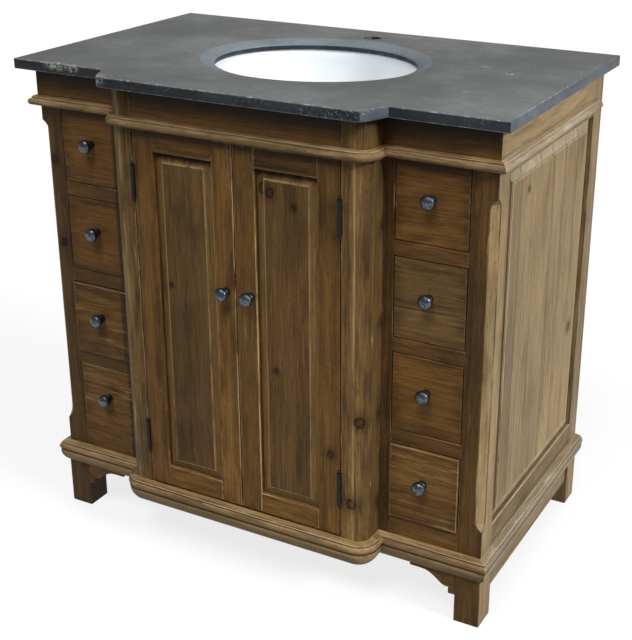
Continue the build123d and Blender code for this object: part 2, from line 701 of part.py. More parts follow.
def main():
    """Write every sub-part."""
    os.makedirs("parts", exist_ok=True)
    save("stone_top", stone_top())
    save("basin", basin())
    save("basin_seal", basin_seal())
    save("basin_clips", *basin_clips())
    save("clip_screws", *clip_screws())
    for side in SIDES:
        save(f"{side}_front_post", sided(side, front_post(*CHAMFER_Z[side])))
    save_sides("back_post", back_post)
    save_sides("column", column)
    save("wing_stiles", *[sided(side, wing_stile()) for side in SIDES])
    save_sides("drawer_rails", drawer_rails)
    save_sides("partition", partition)
    save_sides("drawer_runners", drawer_runners)
    save("cabinet_floor", cabinet_floor())
    save("centre_rails", *centre_rails())
    save("door_catches", *door_catches())
    save("back_panel", back_panel())
    save("back_rails", *back_rails())
    save_sides("side_rails", side_rails)
    save_sides("side_panel", side_panel)
    save("side_aprons", *[sided(side, side_apron()) for side in SIDES])
    save("leg_brackets", *[sided(side, leg_bracket()) for side in SIDES])
    save("frieze_boards", *frieze_boards())
    save("waist_moulding", *moulding(waist_profile(), WAIST_Z, FACE_X, FACE_Y, REAR_POST_Y))
    save("base_moulding", *moulding(base_profile(), LEG_TOP_Z, SHAFT_X, SHAFT_Y, REAR_Y))
    save_sides("door_frame", door_frame)
    save_sides("door_panel", door_panel)
    for side in SIDES:
        save(f"{side}_door_knob", sided(side, knob(DOOR_KNOB_X[side], CENTRE_Y, DOOR_KNOB_Z)))
    save_sides("hinge_frame_leaves", hinge_frame_leaves)
    save_sides("hinge_door_leaves", hinge_door_leaves)
    save_sides("hinge_pins", hinge_pins)
    save_drawers()


main()
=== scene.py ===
import logging
import math
import random
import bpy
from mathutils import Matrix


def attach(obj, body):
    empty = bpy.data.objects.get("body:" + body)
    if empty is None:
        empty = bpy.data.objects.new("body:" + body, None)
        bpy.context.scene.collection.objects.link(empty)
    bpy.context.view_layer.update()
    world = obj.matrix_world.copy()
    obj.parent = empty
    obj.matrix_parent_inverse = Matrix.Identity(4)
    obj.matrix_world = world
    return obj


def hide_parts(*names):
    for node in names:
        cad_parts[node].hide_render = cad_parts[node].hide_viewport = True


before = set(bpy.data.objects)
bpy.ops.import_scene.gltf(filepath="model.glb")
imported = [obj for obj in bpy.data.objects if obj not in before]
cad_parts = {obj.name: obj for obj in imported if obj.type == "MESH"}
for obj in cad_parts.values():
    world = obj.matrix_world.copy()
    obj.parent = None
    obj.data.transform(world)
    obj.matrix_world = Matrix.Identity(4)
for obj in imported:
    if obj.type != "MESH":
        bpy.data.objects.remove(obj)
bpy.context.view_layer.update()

import zlib
from dataclasses import dataclass, field, replace
from enum import Enum
from typing import Callable, Iterable, Mapping, Optional, Sequence, TypeVar

import bpy
from mathutils import Matrix, Vector

MM = 0.001
OVERCUT = 5.0
# Colour of the painted shade: painted shadows under overhangs and painted shade beside the columns.
PAINTED_SHADE = (20, 14, 8)
Span = tuple[float, float]
Box3 = tuple[Span, Span, Span]
Point = tuple[float, float, float]
Colour = tuple[int, int, int]
Socket = bpy.types.NodeSocket
Sockets = Mapping[str, Socket]
Mesh = bpy.types.Object
Kind = TypeVar("Kind")
log = logging.getLogger("washstand")


class Grain(Enum):
    """Axis that a board's grain runs along."""

    ACROSS = 0
    DEEP = 1
    UP = 2


class Pick(Enum):
    """Kind of mesh element that a step selects."""

    VERTS = "VERT"
    EDGES = "EDGE"
    FACES = "FACE"


class Side(Enum):
    """Half of the washstand, seen from the front."""

    LEFT = -1
    RIGHT = 1

    @property
    def word(self) -> str:
        """The side's name as the frame's nodes use it."""
        return self.name.lower()

    def span(self, near: float, far: float) -> Span:
        """X span of something measured on the right side."""
        ends = (near * self.value, far * self.value)
        return min(ends), max(ends)

    def choose(self, left: Kind, right: Kind) -> Kind:
        """The one of two values that belongs to this side."""
        return left if self is Side.LEFT else right


@dataclass(frozen=True)
class Role:
    """What a finished piece stands for: its body, the CAD nodes it replaces and its slot."""

    body: str
    nodes: tuple[str, ...]
    slot: str


@dataclass(frozen=True)
class Plan:
    """Levels and planes that the sub-assemblies share, in millimetres."""

    face_x: float = 435.5
    face_y: float = -212.5
    shaft_x: float = 432.5
    shaft_y: float = -209.5
    head_x: float = 421.5
    head_y: float = -198.5
    post_in_x: float = 389.5
    post_in_y: float = -163.5
    rear_post_y: float = 237.5
    rear_y: float = 283.5
    centre_y: float = -262.0
    door_back_y: float = -240.0
    frame_back_y: float = -187.5
    column_in: float = 197.0
    column_out: float = 243.0
    column_r: float = 22.0
    bay_in: float = 263.0
    leg_top: float = 92.0
    base_top: float = 136.0
    waist: float = 804.5
    top: float = 871.0
    hinges: tuple[Span, Span] = ((204.0, 262.0), (683.0, 741.0))
    leaf_t: float = 1.2
    leaf_w: float = 20.0
    panel_set: float = 8.0


PLAN = Plan()
ROOT = "cabinet"


def metres(values: Iterable[float]) -> list[float]:
    """Millimetres to metres."""
    return [value * MM for value in values]


class Bench:
    """Modelling steps done by hand, each one on a single mesh."""

    DOT = 0.01
    MERGE = 0.00002
    SHARP = 24.0
    SEEDS = 9973

    def clear(self) -> None:
        """Leave edit mode and select nothing."""
        if bpy.context.object and bpy.context.object.mode != "OBJECT":
            self.done()
        bpy.ops.object.select_all(action="DESELECT")

    def only(self, obj: Mesh) -> None:
        """Make one object the active one and the only one selected."""
        self.clear()
        obj.select_set(True)
        bpy.context.view_layer.objects.active = obj

    def settle(self, name: str) -> Mesh:
        """Name the new object and put its place and size into its mesh."""
        obj = bpy.context.object
        bpy.ops.object.transform_apply(location=True, rotation=True, scale=True)
        obj.name = name
        obj.data.name = name
        return obj

    def cube(self, name: str, box: Box3) -> Mesh:
        """Add a cube and size it to a box.

        Args:
            name: Name of the new piece.
            box: X, Y and Z spans in millimetres.

        Returns:
            The new object.
        """
        self.clear()
        middle = [(low + high) / 2 * MM for low, high in box]
        size = [(high - low) * MM for low, high in box]
        bpy.ops.mesh.primitive_cube_add(size=1.0, location=middle, scale=size)
        return self.settle(name)

    def edit(self, obj: Mesh, kind: Pick = Pick.FACES) -> None:
        """Enter edit mode on one object with everything selected."""
        self.only(obj)
        bpy.ops.object.mode_set(mode="EDIT")
        bpy.ops.mesh.select_mode(type=kind.value)
        bpy.ops.mesh.select_all(action="SELECT")

    def done(self) -> None:
        """Leave edit mode."""
        bpy.ops.object.mode_set(mode="OBJECT")

    def pick(self, obj: Mesh, kind: Pick, test: Callable[[Vector], bool]) -> None:
        """Enter edit mode with only the elements selected whose points pass a test.

        Args:
            obj: The object to edit.
            kind: Which elements are looked at.
            test: Takes a place in millimetres; for an edge, both ends have to pass.
        """
        self.edit(obj, kind)
        bpy.ops.mesh.select_all(action="DESELECT")
        self.done()
        mesh = obj.data
        if kind is Pick.VERTS:
            for vert in mesh.vertices:
                vert.select = test(vert.co / MM)
        elif kind is Pick.EDGES:
            for edge in mesh.edges:
                edge.select = all(test(mesh.vertices[index].co / MM) for index in edge.vertices)
        else:
            for face in mesh.polygons:
                face.select = test(face.center / MM)
        bpy.ops.object.mode_set(mode="EDIT")

    def draw(self, name: str, points: Sequence[Point], fill: bool = True) -> Mesh:
        """Collapse a plane to a point and extrude that point along an outline.

        Args:
            name: Name of the new piece.
            points: Corners of the outline in millimetres.
            fill: Whether the outline is closed and filled with a face.

        Returns:
            The new object, in edit mode with the whole outline selected.
        """
        self.clear()
        bpy.ops.mesh.primitive_plane_add(size=self.DOT, location=metres(points[0]))
        obj = self.settle(name)
        self.edit(obj, Pick.VERTS)
        bpy.ops.mesh.merge(type="CENTER")
        for start, end in zip(points, points[1:]):
            step = [(b - a) * MM for a, b in zip(start, end)]
            bpy.ops.mesh.extrude_vertices_move(TRANSFORM_OT_translate={"value": step})
        if fill:
            bpy.ops.mesh.select_all(action="SELECT")
            bpy.ops.mesh.edge_face_add()
        bpy.ops.mesh.select_all(action="SELECT")
        return obj

    def push(self, step: Point) -> None:
        """Extrude what is selected by a step in millimetres."""
        bpy.ops.mesh.extrude_region_move(TRANSFORM_OT_translate={"value": metres(step)})

    def scale(self, factors: Sequence[float], pivot: Point) -> None:
        """Scale what is selected about a place in millimetres."""
        bpy.ops.transform.resize(value=factors, center_override=metres(pivot))

    def turn(self, centre: Span, angle: float, steps: int) -> None:
        """Spin what is selected round an upright axis, in degrees."""
        place = metres((*centre, 0.0))
        bpy.ops.mesh.spin(steps=steps, angle=-math.radians(angle), center=place, axis=(0, 0, 1))

    def slice(self, obj: Mesh, at: Point, normal: Point) -> None:
        """Cut the whole mesh at a plane, keep what lies behind it and close the cut."""
        self.edit(obj)
        bpy.ops.mesh.bisect(plane_co=metres(at), plane_no=normal, use_fill=True, clear_outer=True)
        self.done()

    def score(self, obj: Mesh, axis: int, places: Iterable[float]) -> None:
        """Cut lines across a mesh at places along one axis."""
        self.edit(obj)
        for place in places:
            at = [0.0, 0.0, 0.0]
            normal = [0.0, 0.0, 0.0]
            at[axis] = place * MM
            normal[axis] = 1.0
            bpy.ops.mesh.select_all(action="SELECT")
            bpy.ops.mesh.bisect(plane_co=at, plane_no=normal)
        self.done()

    def carve(self, obj: Mesh, cutter: Mesh) -> None:
        """Take one mesh out of another and drop the cutter."""
        self.only(obj)
        tool = obj.modifiers.new("carve", "BOOLEAN")
        tool.operation = "DIFFERENCE"
        tool.solver = "EXACT"
        tool.object = cutter
        bpy.ops.object.modifier_apply(modifier=tool.name)
        bpy.data.meshes.remove(cutter.data)

    def coat(self, obj: Mesh, materials: Sequence[bpy.types.Material]) -> None:
        """Put materials on a piece before its arrises and faces are told apart."""
        for material in materials:
            obj.data.materials.append(material)

    def soften(self, obj: Mesh, width: float, steps: int = 2) -> None:
        """Round the sharp arrises; the rounded strips take the second material."""
        self.edit(obj, Pick.EDGES)
        bpy.ops.mesh.select_all(action="DESELECT")
        bpy.ops.mesh.edges_select_sharp(sharpness=math.radians(self.SHARP))
        bpy.ops.mesh.bevel(
            offset=width * MM, segments=steps, affect="EDGES", material=1, clamp_overlap=True
        )
        self.done()

    def wear(self, obj: Mesh, axis: int, amount: float, pitch: float = 70.0) -> None:
        """Cut a long piece into stations and shift their points a little."""
        places = [vert.co[axis] for vert in obj.data.vertices]
        low, high = min(places) / MM, max(places) / MM
        count = max(1, int((high - low) / pitch))
        self.score(obj, axis, [low + (high - low) * (index + 0.5) / count for index in range(count)])
        self.edit(obj, Pick.VERTS)
        seed = zlib.crc32(obj.name.encode()) % self.SEEDS
        bpy.ops.transform.vertex_random(offset=amount * MM, seed=seed)
        self.done()

    def close(self, obj: Mesh) -> None:
        """Merge doubled points and turn every face outwards."""
        self.edit(obj, Pick.VERTS)
        bpy.ops.mesh.remove_doubles(threshold=self.MERGE)
        bpy.ops.mesh.normals_make_consistent(inside=False)
        self.done()

    def paint(self, obj: Mesh, index: int, test: Callable[[Vector, Vector], bool]) -> None:
        """Give a material slot to the faces that pass a test.

        Args:
            obj: The piece.
            index: Which of its materials.
            test: Takes a face's middle in millimetres and its normal.
        """
        for face in obj.data.polygons:
            if test(face.center / MM, face.normal):
                face.material_index = index

    def smooth(self, obj: Mesh, angle: float = 30.0) -> None:
        """Shade faces that meet at less than an angle as one surface."""
        self.only(obj)
        bpy.ops.object.shade_smooth_by_angle(angle=math.radians(angle))

    def copy(self, obj: Mesh, name: str, step: Point) -> Mesh:
        """Copy a piece with its own mesh and move the copy's mesh.

        Args:
            obj: The finished piece.
            name: Name of the copy.
            step: How far the copy is moved, in millimetres.

        Returns:
            The copy.
        """
        self.only(obj)
        bpy.ops.object.duplicate(linked=False)
        twin = bpy.context.object
        twin.name = name
        twin.data.name = name
        self.edit(twin, Pick.VERTS)
        bpy.ops.transform.translate(value=metres(step))
        self.done()
        return twin


class Graph:
    """Adds nodes to one node tree and joins their sockets."""

    def __init__(self, tree: bpy.types.NodeTree) -> None:
        """Work on one tree."""
        self.tree = tree

    def add(self, kind: str, feeds: Optional[dict] = None, **settings: object) -> bpy.types.Node:
        """Add a node, set its options and feed its inputs.

        Args:
            kind: Node type without its prefix.
            feeds: Input name or index to a socket or a value.
            **settings: Options of the node.

        Returns:
            The new node.
        """
        prefix = "" if kind.startswith("NodeGroup") else "ShaderNode"
        node = self.tree.nodes.new(prefix + kind)
        for key, value in settings.items():
            setattr(node, key, value)
        for key, value in (feeds or {}).items():
            self.feed(node.inputs[key], value)
        return node

    def feed(self, socket: Socket, value: object) -> None:
        """Link a socket into an input, or set the input's value."""
        if isinstance(value, Socket):
            self.tree.links.new(value, socket)
        else:
            socket.default_value = value

    def group(self, tree: bpy.types.NodeTree, feeds: dict) -> Sockets:
        """Use a node group and give back what comes out of it."""
        return self.add("Group", feeds, node_tree=tree).outputs

    def math(self, operation: str, *values: object, clamp: bool = False) -> Socket:
        """One step of arithmetic."""
        return self.add("Math", dict(enumerate(values)), operation=operation, use_clamp=clamp).outputs[0]

    def plus(self, first: object, second: object) -> Socket:
        """Sum of two values."""
        return self.math("ADD", first, second)

    def minus(self, first: object, second: object) -> Socket:
        """Difference of two values."""
        return self.math("SUBTRACT", first, second)

    def times(self, first: object, second: object) -> Socket:
        """Product of two values."""
        return self.math("MULTIPLY", first, second)

    def mix(self, share: object, first: object, second: object, blend: str = "MIX") -> Socket:
        """Mix two colours."""
        node = self.add("Mix", {0: share, 6: first, 7: second}, data_type="RGBA", blend_type=blend)
        return node.outputs[2]

    def shade(self, colour: Socket, factor: object) -> Socket:
        """Multiply a colour part by part."""
        return self.mix(1.0, colour, factor, "MULTIPLY")

    def step(self, value: object, low: object, high: object) -> Socket:
        """Smooth step from nought to one between two values."""
        feeds = {0: value, 1: low, 2: high, 3: 0.0, 4: 1.0}
        return self.add("MapRange", feeds, interpolation_type="SMOOTHSTEP").outputs[0]

    def vector(self, operation: str, *values: object) -> Socket:
        """One step of arithmetic on vectors."""
        return self.add("VectorMath", dict(enumerate(values)), operation=operation).outputs[0]

    def length(self, vector: Socket) -> Socket:
        """Length of a vector."""
        return self.add("VectorMath", {0: vector}, operation="LENGTH").outputs["Value"]

    def here(self) -> Socket:
        """Place on the piece along the frame's axes."""
        return self.add("TexCoord").outputs["Object"]

    def layer(self, name: str, output: str = "Vector") -> Socket:
        """What the mesh carries in a named layer."""
        return self.add("Attribute", attribute_name=name).outputs[output]

    def noise(self, place: Socket, factors: Point, detail: float = 2.0, rough: float = 0.5) -> Socket:
        """Soft noise, finer on an axis the larger its factor is."""
        feeds = {"Vector": self.vector("MULTIPLY", place, factors), "Scale": 1.0}
        feeds |= {"Detail": detail, "Roughness": rough}
        return self.add("TexNoise", feeds, noise_dimensions="3D").outputs[0]

    def split(self, vector: Socket) -> tuple[Socket, Socket, Socket]:
        """The three parts of a vector."""
        node = self.add("SeparateXYZ", {0: vector})
        return node.outputs[0], node.outputs[1], node.outputs[2]

    def join(self, x: object, y: object, z: object) -> Socket:
        """A vector out of three parts."""
        return self.add("CombineXYZ", {0: x, 1: y, 2: z}).outputs[0]


def linear(colour: Colour) -> tuple[float, float, float, float]:
    """Scene-linear colour with alpha from 8-bit values."""
    parts = [value / 255 for value in colour]
    curve = [part / 12.92 if part <= 0.04045 else ((part + 0.055) / 1.055) ** 2.4 for part in parts]
    return curve[0], curve[1], curve[2], 1.0


class Groups:
    """Shader node groups shared by the finishes, each built once."""

    KNOT_CELLS = (9.0, 3.0)
    RINGS_PER_METRE = 118.0

    def __init__(self) -> None:
        """Build every group."""
        self.pine = self._pine()
        self.rims = self._rims()
        self.knot = self._knot()
        self.worn = self._worn()
        self.bluestone = self._bluestone()
        self.chip = self._chip()
        self.tarnish = self._tarnish()

    @staticmethod
    def _begin(name: str, takes: dict[str, str], gives: str) -> tuple[Graph, Sockets]:
        """Start a group with named sockets.

        Args:
            name: Name of the group.
            takes: Kind of socket to the names of the inputs of that kind.
            gives: Names of the outputs: Color is a colour, any other one a value.

        Returns:
            A graph on the group and what goes into it.
        """
        tree = bpy.data.node_groups.new(name, "ShaderNodeTree")
        for kind, labels in takes.items():
            for label in labels.split():
                tree.interface.new_socket(label, in_out="INPUT", socket_type="NodeSocket" + kind)
        for label in gives.split():
            kind = "Color" if label == "Color" else "Float"
            tree.interface.new_socket(label, in_out="OUTPUT", socket_type="NodeSocket" + kind)
        g = Graph(tree)
        return g, g.add("NodeGroupInput").outputs

    def _pine(self) -> bpy.types.NodeTree:
        """Pine cut from a log: rings, fibres, stains and knots, with the grain along Z.

        Returns:
            The group.
        """
        takes = {"Vector": "Vector", "Color": "Dark Mid Light", "Float": "Tone Rings Stains Knots"}
        g, given = self._begin("pine", takes, "Color Height")
        place = given["Vector"]
        x, y, z = g.split(place)
        wide, long = self.KNOT_CELLS
        cell = g.join(g.times(g.math("MULTIPLY_ADD", y, 0.8, x), wide), g.times(z, long), 0.0)
        feeds = {"Vector": cell, "Scale": 1.0, "Randomness": 0.9}
        knot = g.add("TexVoronoi", feeds, voronoi_dimensions="2D").outputs
        away = g.vector("SUBTRACT", cell, knot["Position"])
        distance = g.length(g.vector("MULTIPLY", away, (1 / wide, 0.7 / long, 0.0)))
        chance, size, _ = g.split(knot["Color"])
        present = g.math("LESS_THAN", chance, given["Knots"])
        radius = g.plus(g.times(size, 0.0055), 0.003)
        core = g.times(g.step(distance, g.times(radius, 1.2), g.times(radius, 0.7)), present)
        halo = g.times(g.step(distance, g.times(radius, 5.0), 0.0), present)
        warp = g.noise(place, (6.0, 6.0, 1.7))
        reach = g.math("SQRT", g.plus(g.times(x, x), g.times(y, y)))
        lean = g.plus(reach, g.times(z, 0.025))
        bent = g.plus(lean, g.times(warp, 0.040))
        round_knots = g.plus(bent, g.times(halo, 0.014))
        phase = g.math("FRACT", g.times(round_knots, self.RINGS_PER_METRE))
        late = g.times(g.step(phase, 0.30, 0.88), g.step(phase, 1.0, 0.90))
        clear = g.step(g.noise(place, (24.0, 24.0, 2.6), 3.0, 0.6), 0.36, 0.66)
        fibre = g.noise(place, (460.0, 460.0, 11.0), 3.0, 0.75)
        pores = g.noise(place, (330.0, 330.0, 80.0), 2.0, 0.6)
        drift = g.noise(place, (70.0, 70.0, 2.0), 4.0, 0.65)
        cloud = g.noise(place, (9.0, 9.0, 3.0))
        stain = g.step(g.noise(place, (40.0, 40.0, 6.0), 5.0, 0.7), 0.50, 0.74)
        blot = g.step(g.noise(place, (17.0, 17.0, 7.0), 5.0, 0.7), 0.50, 0.72)
        colour = g.mix(g.times(g.times(late, given["Rings"]), clear), given["Mid"], given["Dark"])
        streaks = (
            (fibre, 0.50, 0.70, 0.72, "Light"),
            (fibre, 0.48, 0.29, 0.78, "Dark"),
            (pores, 0.54, 0.70, 0.36, "Dark"),
            (drift, 0.46, 0.74, 0.44, "Light"),
            (drift, 0.46, 0.24, 0.44, "Dark"),
        )
        for mask, low, high, share, tint in streaks:
            colour = g.mix(g.times(g.step(mask, low, high), share), colour, given[tint])
        colour = g.mix(g.times(stain, given["Stains"]), colour, given["Dark"])
        colour = g.mix(g.times(blot, g.times(given["Stains"], 0.7)), colour, given["Dark"])
        colour = g.mix(g.times(halo, 0.45), colour, given["Dark"])
        colour = g.mix(core, colour, g.shade(given["Dark"], (0.30, 0.27, 0.25, 1.0)))
        level = g.plus(given["Tone"], g.math("MULTIPLY_ADD", cloud, 0.90, 0.55))
        colour = g.shade(colour, g.join(level, level, level))
        ridge = g.plus(g.times(late, 0.3), g.times(fibre, 0.8))
        g.add("NodeGroupOutput", {"Color": colour, "Height": g.minus(ridge, g.times(core, 0.8))})
        return g.tree

    def _rims(self) -> bpy.types.NodeTree:
        """Masks along the rim of a face: soiling and painted shade near it, rubbing right on it and
        painted shadow below its top.

        Returns:
            The group.
        """
        takes = {"Vector": "Vector Place Half", "Float": "Reach"}
        g, given = self._begin("rims", takes, "Grime Rub Under")
        inside = g.vector("ABSOLUTE", given["Place"])
        across, along, _ = g.split(g.vector("SUBTRACT", given["Half"], inside))
        near = g.math("MINIMUM", across, along)
        grit = g.noise(given["Vector"], (70.0, 70.0, 16.0), 4.0, 0.65)
        # Darker near the rim: partly real soiling, partly painted shade in the gaps between parts.
        grime = g.times(g.step(near, 0.026, 0.0), g.step(grit, 0.30, 0.66))
        rub = g.times(g.step(near, 0.0042, 0.0012), g.step(grit, 0.50, 0.68))
        # Painted shadow, deepest right under the face's upper edge.
        _, height, _ = g.split(g.vector("SUBTRACT", given["Half"], given["Place"]))
        uneven = g.plus(height, g.times(g.minus(grit, 0.5), 0.02))
        under = g.step(uneven, given["Reach"], g.times(given["Reach"], 0.15))
        g.add("NodeGroupOutput", {"Grime": grime, "Rub": rub, "Under": under})
        return g.tree

    def _knot(self) -> bpy.types.NodeTree:
        """One branch knot at a place on a piece: its dark ring and the shadow round it.

        Returns:
            The group.
        """
        takes = {"Vector": "Vector Place", "Float": "Radius", "Color": "Color"}
        g, given = self._begin("knot", takes, "Color")
        wood = given["Color"]
        away = g.vector("SUBTRACT", given["Vector"], given["Place"])
        distance = g.length(g.vector("MULTIPLY", away, (1.0, 1.0, 0.85)))
        rough = g.noise(given["Vector"], (190.0, 190.0, 190.0), 3.0, 0.65)
        ragged = g.math("MULTIPLY_ADD", rough, 0.006, g.minus(distance, 0.003))
        share = g.math("DIVIDE", ragged, given["Radius"])
        shadow = g.shade(wood, (0.52, 0.46, 0.42, 1.0))
        ring = g.shade(wood, (0.12, 0.10, 0.09, 1.0))
        heart = g.shade(wood, (0.44, 0.30, 0.24, 1.0))
        colour = g.mix(g.times(g.step(share, 3.2, 0.9), 0.8), wood, shadow)
        colour = g.mix(g.step(share, 1.25, 0.95), colour, ring)
        colour = g.mix(g.step(share, 0.80, 0.45), colour, heart)
        g.add("NodeGroupOutput", {"Color": colour})
        return g.tree

    def _worn(self) -> bpy.types.NodeTree:
        """Rubbed wax: pale wood showing through in narrow streaks.

        Returns:
            The group.
        """
        takes = {"Vector": "Vector", "Color": "Color Pale", "Float": "Amount Rub"}
        g, given = self._begin("rubbed wax", takes, "Color Mask")
        patch = g.noise(given["Vector"], (110.0, 110.0, 12.0), 5.0, 0.7)
        high = g.minus(1.0, g.times(given["Amount"], 0.62))
        mask = g.math("MAXIMUM", g.step(patch, g.minus(high, 0.22), high), given["Rub"])
        colour = g.mix(g.times(mask, 0.85), given["Color"], given["Pale"])
        g.add("NodeGroupOutput", {"Color": colour, "Mask": mask})
        return g.tree

    def _bluestone(self) -> bpy.types.NodeTree:
        """Honed stone: soft clouds, fine mottling, pale specks and faint scuffs.

        Returns:
            The group.
        """
        takes = {"Vector": "Vector", "Color": "Dark Mid Pale", "Float": "Flecks"}
        g, given = self._begin("bluestone", takes, "Color Gloss Height")
        place = given["Vector"]
        cloud = g.noise(place, (5.0, 5.0, 5.0), 5.0, 0.6)
        mottle = g.noise(place, (70.0, 70.0, 70.0), 4.0, 0.65)
        grit = g.noise(place, (330.0, 330.0, 330.0), 3.0, 0.7)
        patch = g.step(g.noise(place, (11.0, 11.0, 11.0), 3.0, 0.6), 0.46, 0.68)
        fleck = g.times(g.step(grit, 0.54, 0.66), g.times(patch, given["Flecks"]))
        scuff = g.step(g.noise(place, (12.0, 90.0, 40.0), 4.0, 0.7), 0.62, 0.78)
        colour = g.mix(g.step(cloud, 0.35, 0.68), given["Dark"], given["Mid"])
        colour = g.mix(g.times(g.step(mottle, 0.42, 0.70), 0.45), colour, given["Dark"])
        colour = g.mix(g.times(g.step(grit, 0.48, 0.28), 0.35), colour, given["Dark"])
        colour = g.mix(g.times(fleck, 0.75), colour, given["Pale"])
        colour = g.mix(g.times(scuff, 0.26), colour, given["Pale"])
        gloss = g.plus(0.36, g.times(mottle, 0.24))
        height = g.plus(mottle, g.times(grit, 0.5))
        g.add("NodeGroupOutput", {"Color": colour, "Gloss": gloss, "Height": height})
        return g.tree

    def _chip(self) -> bpy.types.NodeTree:
        """One chipped or scuffed spot of the stone, pale and crumbly.

        Returns:
            The group.
        """
        takes = {"Vector": "Vector Place Reach", "Color": "Color"}
        g, given = self._begin("chip", takes, "Color")
        away = g.vector("SUBTRACT", given["Vector"], given["Place"])
        depth = g.length(g.vector("DIVIDE", away, given["Reach"]))
        crumb = g.noise(given["Vector"], (230.0, 230.0, 230.0), 4.0, 0.75)
        chip = g.times(g.step(depth, 1.0, 0.25), g.step(crumb, 0.47, 0.56))
        colour = g.mix(g.times(chip, 0.85), given["Color"], (0.52, 0.51, 0.48, 1.0))
        g.add("NodeGroupOutput", {"Color": colour})
        return g.tree

    def _tarnish(self) -> bpy.types.NodeTree:
        """Old metal: darker in patches and fine scratches.

        Returns:
            The group.
        """
        takes = {"Vector": "Vector", "Color": "Bright Dull", "Float": "Amount"}
        g, given = self._begin("tarnish", takes, "Color Gloss Height")
        patch = g.noise(given["Vector"], (260.0, 260.0, 260.0), 4.0, 0.65)
        fine = g.noise(given["Vector"], (1500.0, 1500.0, 1500.0))
        mask = g.times(g.step(patch, 0.36, 0.66), given["Amount"])
        colour = g.mix(mask, given["Bright"], given["Dull"])
        height = g.plus(g.times(patch, 0.7), g.times(fine, 0.3))
        g.add("NodeGroupOutput", {"Color": colour, "Gloss": g.times(mask, 0.25), "Height": height})
        return g.tree


GROUPS = Groups()


def new_material(name: str) -> tuple[bpy.types.Material, Graph, bpy.types.Node]:
    """Empty material with its shader.

    Args:
        name: Name of the material.

    Returns:
        The material, a graph on its tree and its shader node.
    """
    material = bpy.data.materials.new(name)
    material.use_nodes = True
    graph = Graph(material.node_tree)
    shader = next(node for node in material.node_tree.nodes if node.type == "BSDF_PRINCIPLED")
    return material, graph, shader


def relief(graph: Graph, shader: bpy.types.Node, height: Socket, strength: float, depth: float) -> None:
    """Raise a height as a bump, with its depth in millimetres."""
    bump = graph.add("Bump", {"Height": height, "Strength": strength, "Distance": depth * MM})
    graph.feed(shader.inputs["Normal"], bump.outputs[0])


